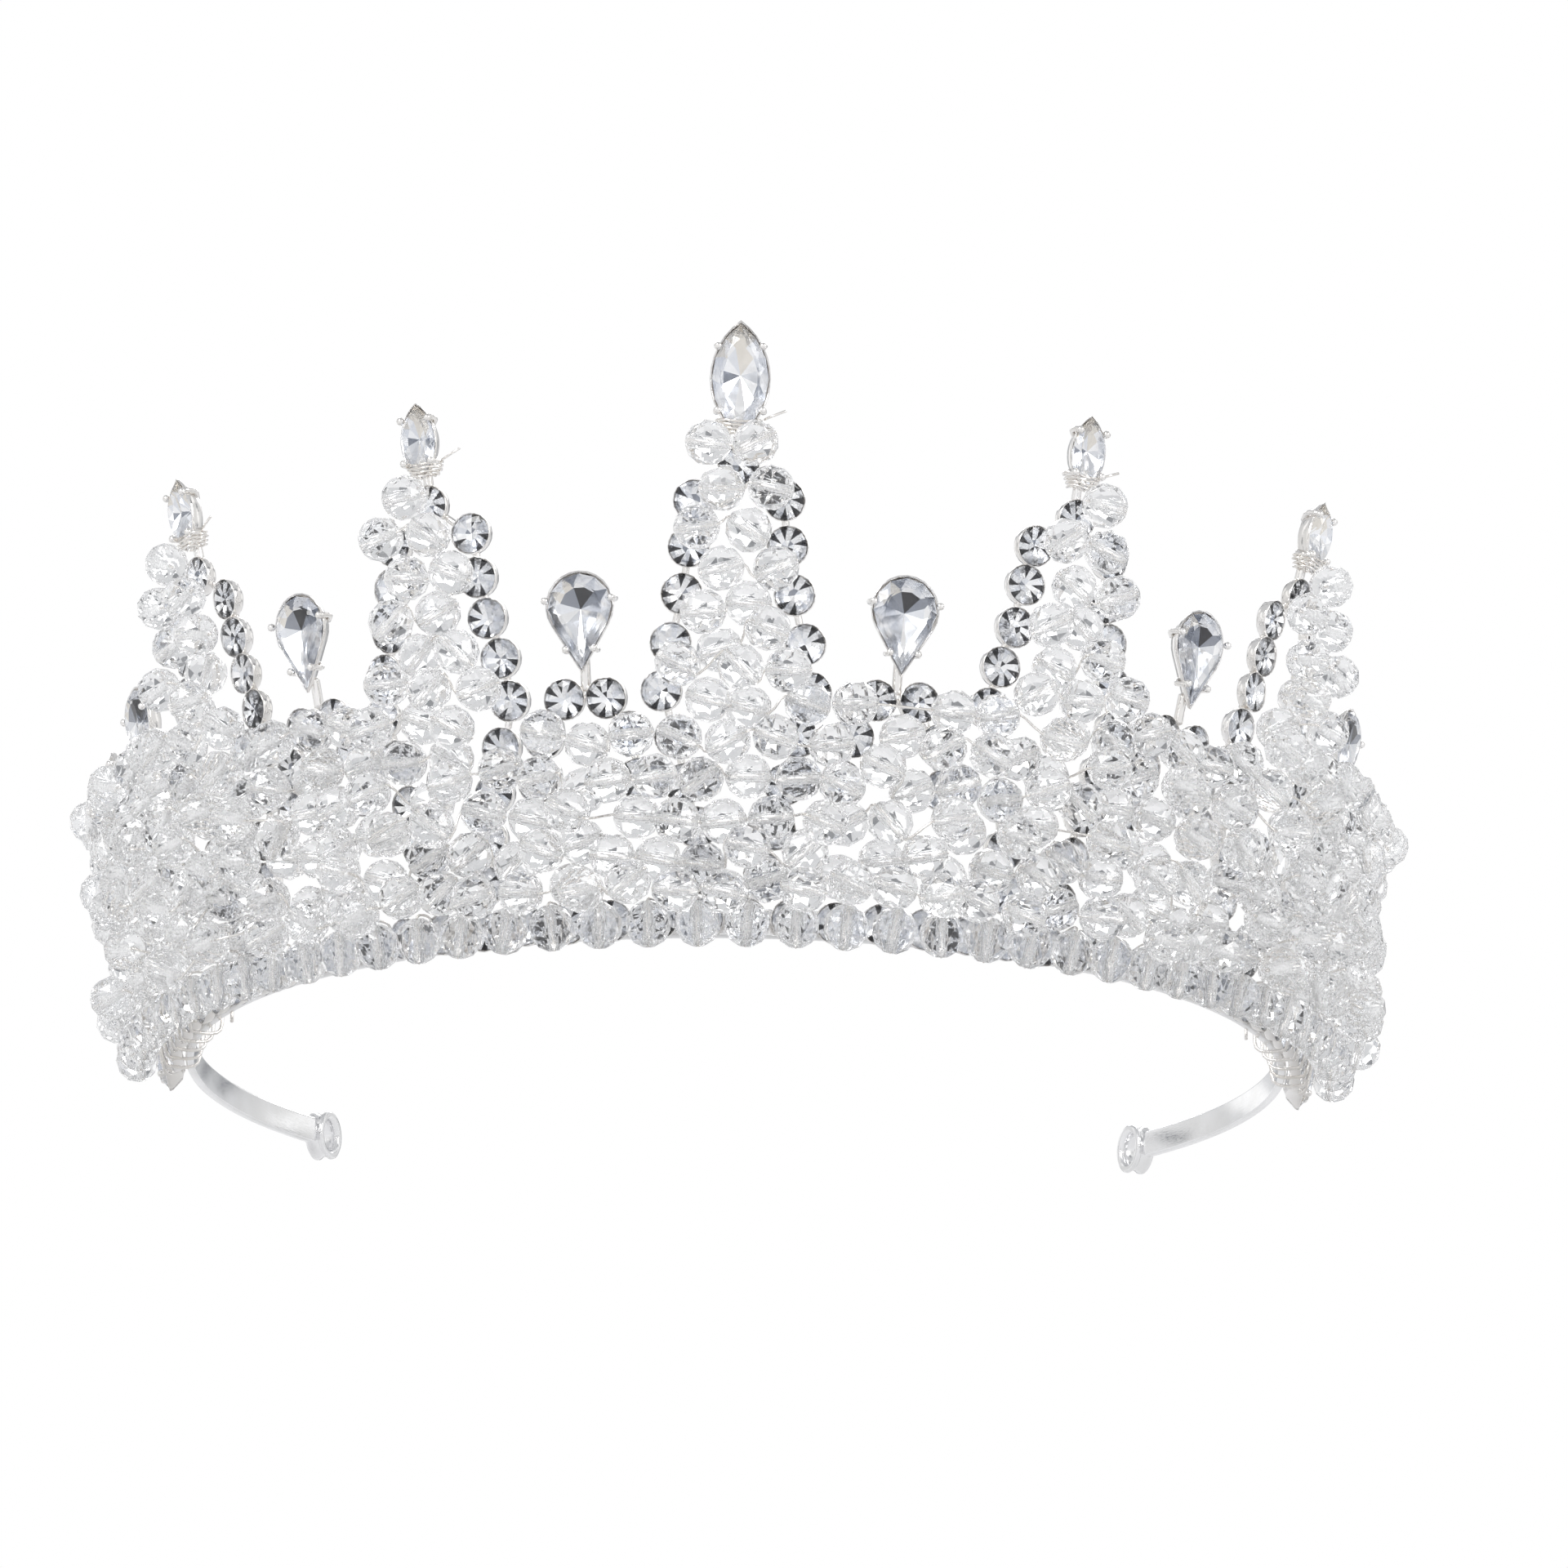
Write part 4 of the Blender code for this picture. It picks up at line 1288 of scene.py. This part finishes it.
def make_camera():
    """A long lens from low in front, turned a degree, as the tiara is shown."""
    data = bpy.data.cameras.new("camera")
    camera = bpy.data.objects.new("camera", data)
    bpy.context.scene.collection.objects.link(camera)
    target = Vector((0.0, WALL[1], WALL[2] + TARGET_HEIGHT))
    camera.location = target + CAMERA_SIDE * CAMERA_DISTANCE
    camera.rotation_mode = "QUATERNION"
    turn = CAMERA_SIDE.to_track_quat("Z", "Y")
    camera.rotation_quaternion = turn @ Quaternion((0, 0, 1), CAMERA_ROLL)
    data.sensor_width = SENSOR_WIDTH
    data.lens = SENSOR_WIDTH * CAMERA_DISTANCE / FRAME_WIDTH
    data.shift_x, data.shift_y = CAMERA_SHIFT
    data.clip_start = 0.01
    bpy.context.scene.camera = camera


def main():
    looks = {
        "band": silver("band_silver", 0.0, (0.10, 0.24), 1200.0),
        "setting": silver("setting_silver", 0.6, (0.05, 0.18)),
        "thread": silver("thread_silver", 1.0, (0.08, 0.2)),
        "bead": [
            glass("bead_crystal", (0.98, 0.983, 0.99), (0.0, 0.05), 0.25),
            drilled("drilled_hole_painted_glow"),
        ],
        "stone": [
            glass("cut_crystal", (0.99, 0.99, 0.995), (0.0, 0.02), 0.1),
            foil_and_painted_reflection("foil_white", (0.93, 0.95, 0.98), (0.98, 0.97, 0.96)),
            foil_and_painted_reflection("painted_reflection_pale", (0.76, 0.79, 0.85), (0.86, 0.87, 0.89)),
            # The next four are painted reflections and a painted warm glint: tinted and darkened
            # copies of the white mirror coat
            foil_and_painted_reflection("painted_reflection_grey", (0.24, 0.27, 0.33), (0.36, 0.37, 0.40)),
            foil_and_painted_reflection("painted_reflection_dark", (0.03, 0.03, 0.04), (0.09, 0.09, 0.09)),
            foil_and_painted_reflection("painted_glint_warm", (0.80, 0.76, 0.69), (0.88, 0.85, 0.80)),
        ],
    }
    rng = np.random.default_rng(3)
    make_headband(looks["band"])
    make_base_chains(looks, rng)
    for side in SIDES:
        make_eyelet(side, looks["band"])
        make_binding(side, looks["thread"])
        make_end_drop(side, looks)
    for station in range(-6, 7):
        make_frame(station, looks, rng)
    make_beads(looks)
    for station in (-4, -2, 0, 2, 4):
        make_tie(station, looks["thread"], rng)
    make_floor()
    make_studio()
    add_softbox("key_lamp", (-0.55, -0.75, 0.55), (0, 0, 0.03), (0.35, 0.35), 3.5)
    add_softbox("fill_lamp", (0.7, -0.55, 0.35), (0, 0, 0.03), (0.2, 0.5), 2.0)
    add_softbox("rim_lamp", (0.1, 0.8, 0.6), (0, 0, 0.03), (0.6, 0.2), 1.6)
    make_camera()
    cycles = bpy.context.scene.cycles
    cycles.max_bounces = LIGHT_BOUNCES
    cycles.transmission_bounces = LIGHT_BOUNCES
    cycles.glossy_bounces = LIGHT_BOUNCES
    bpy.context.scene.view_settings.view_transform = "Standard"


main()
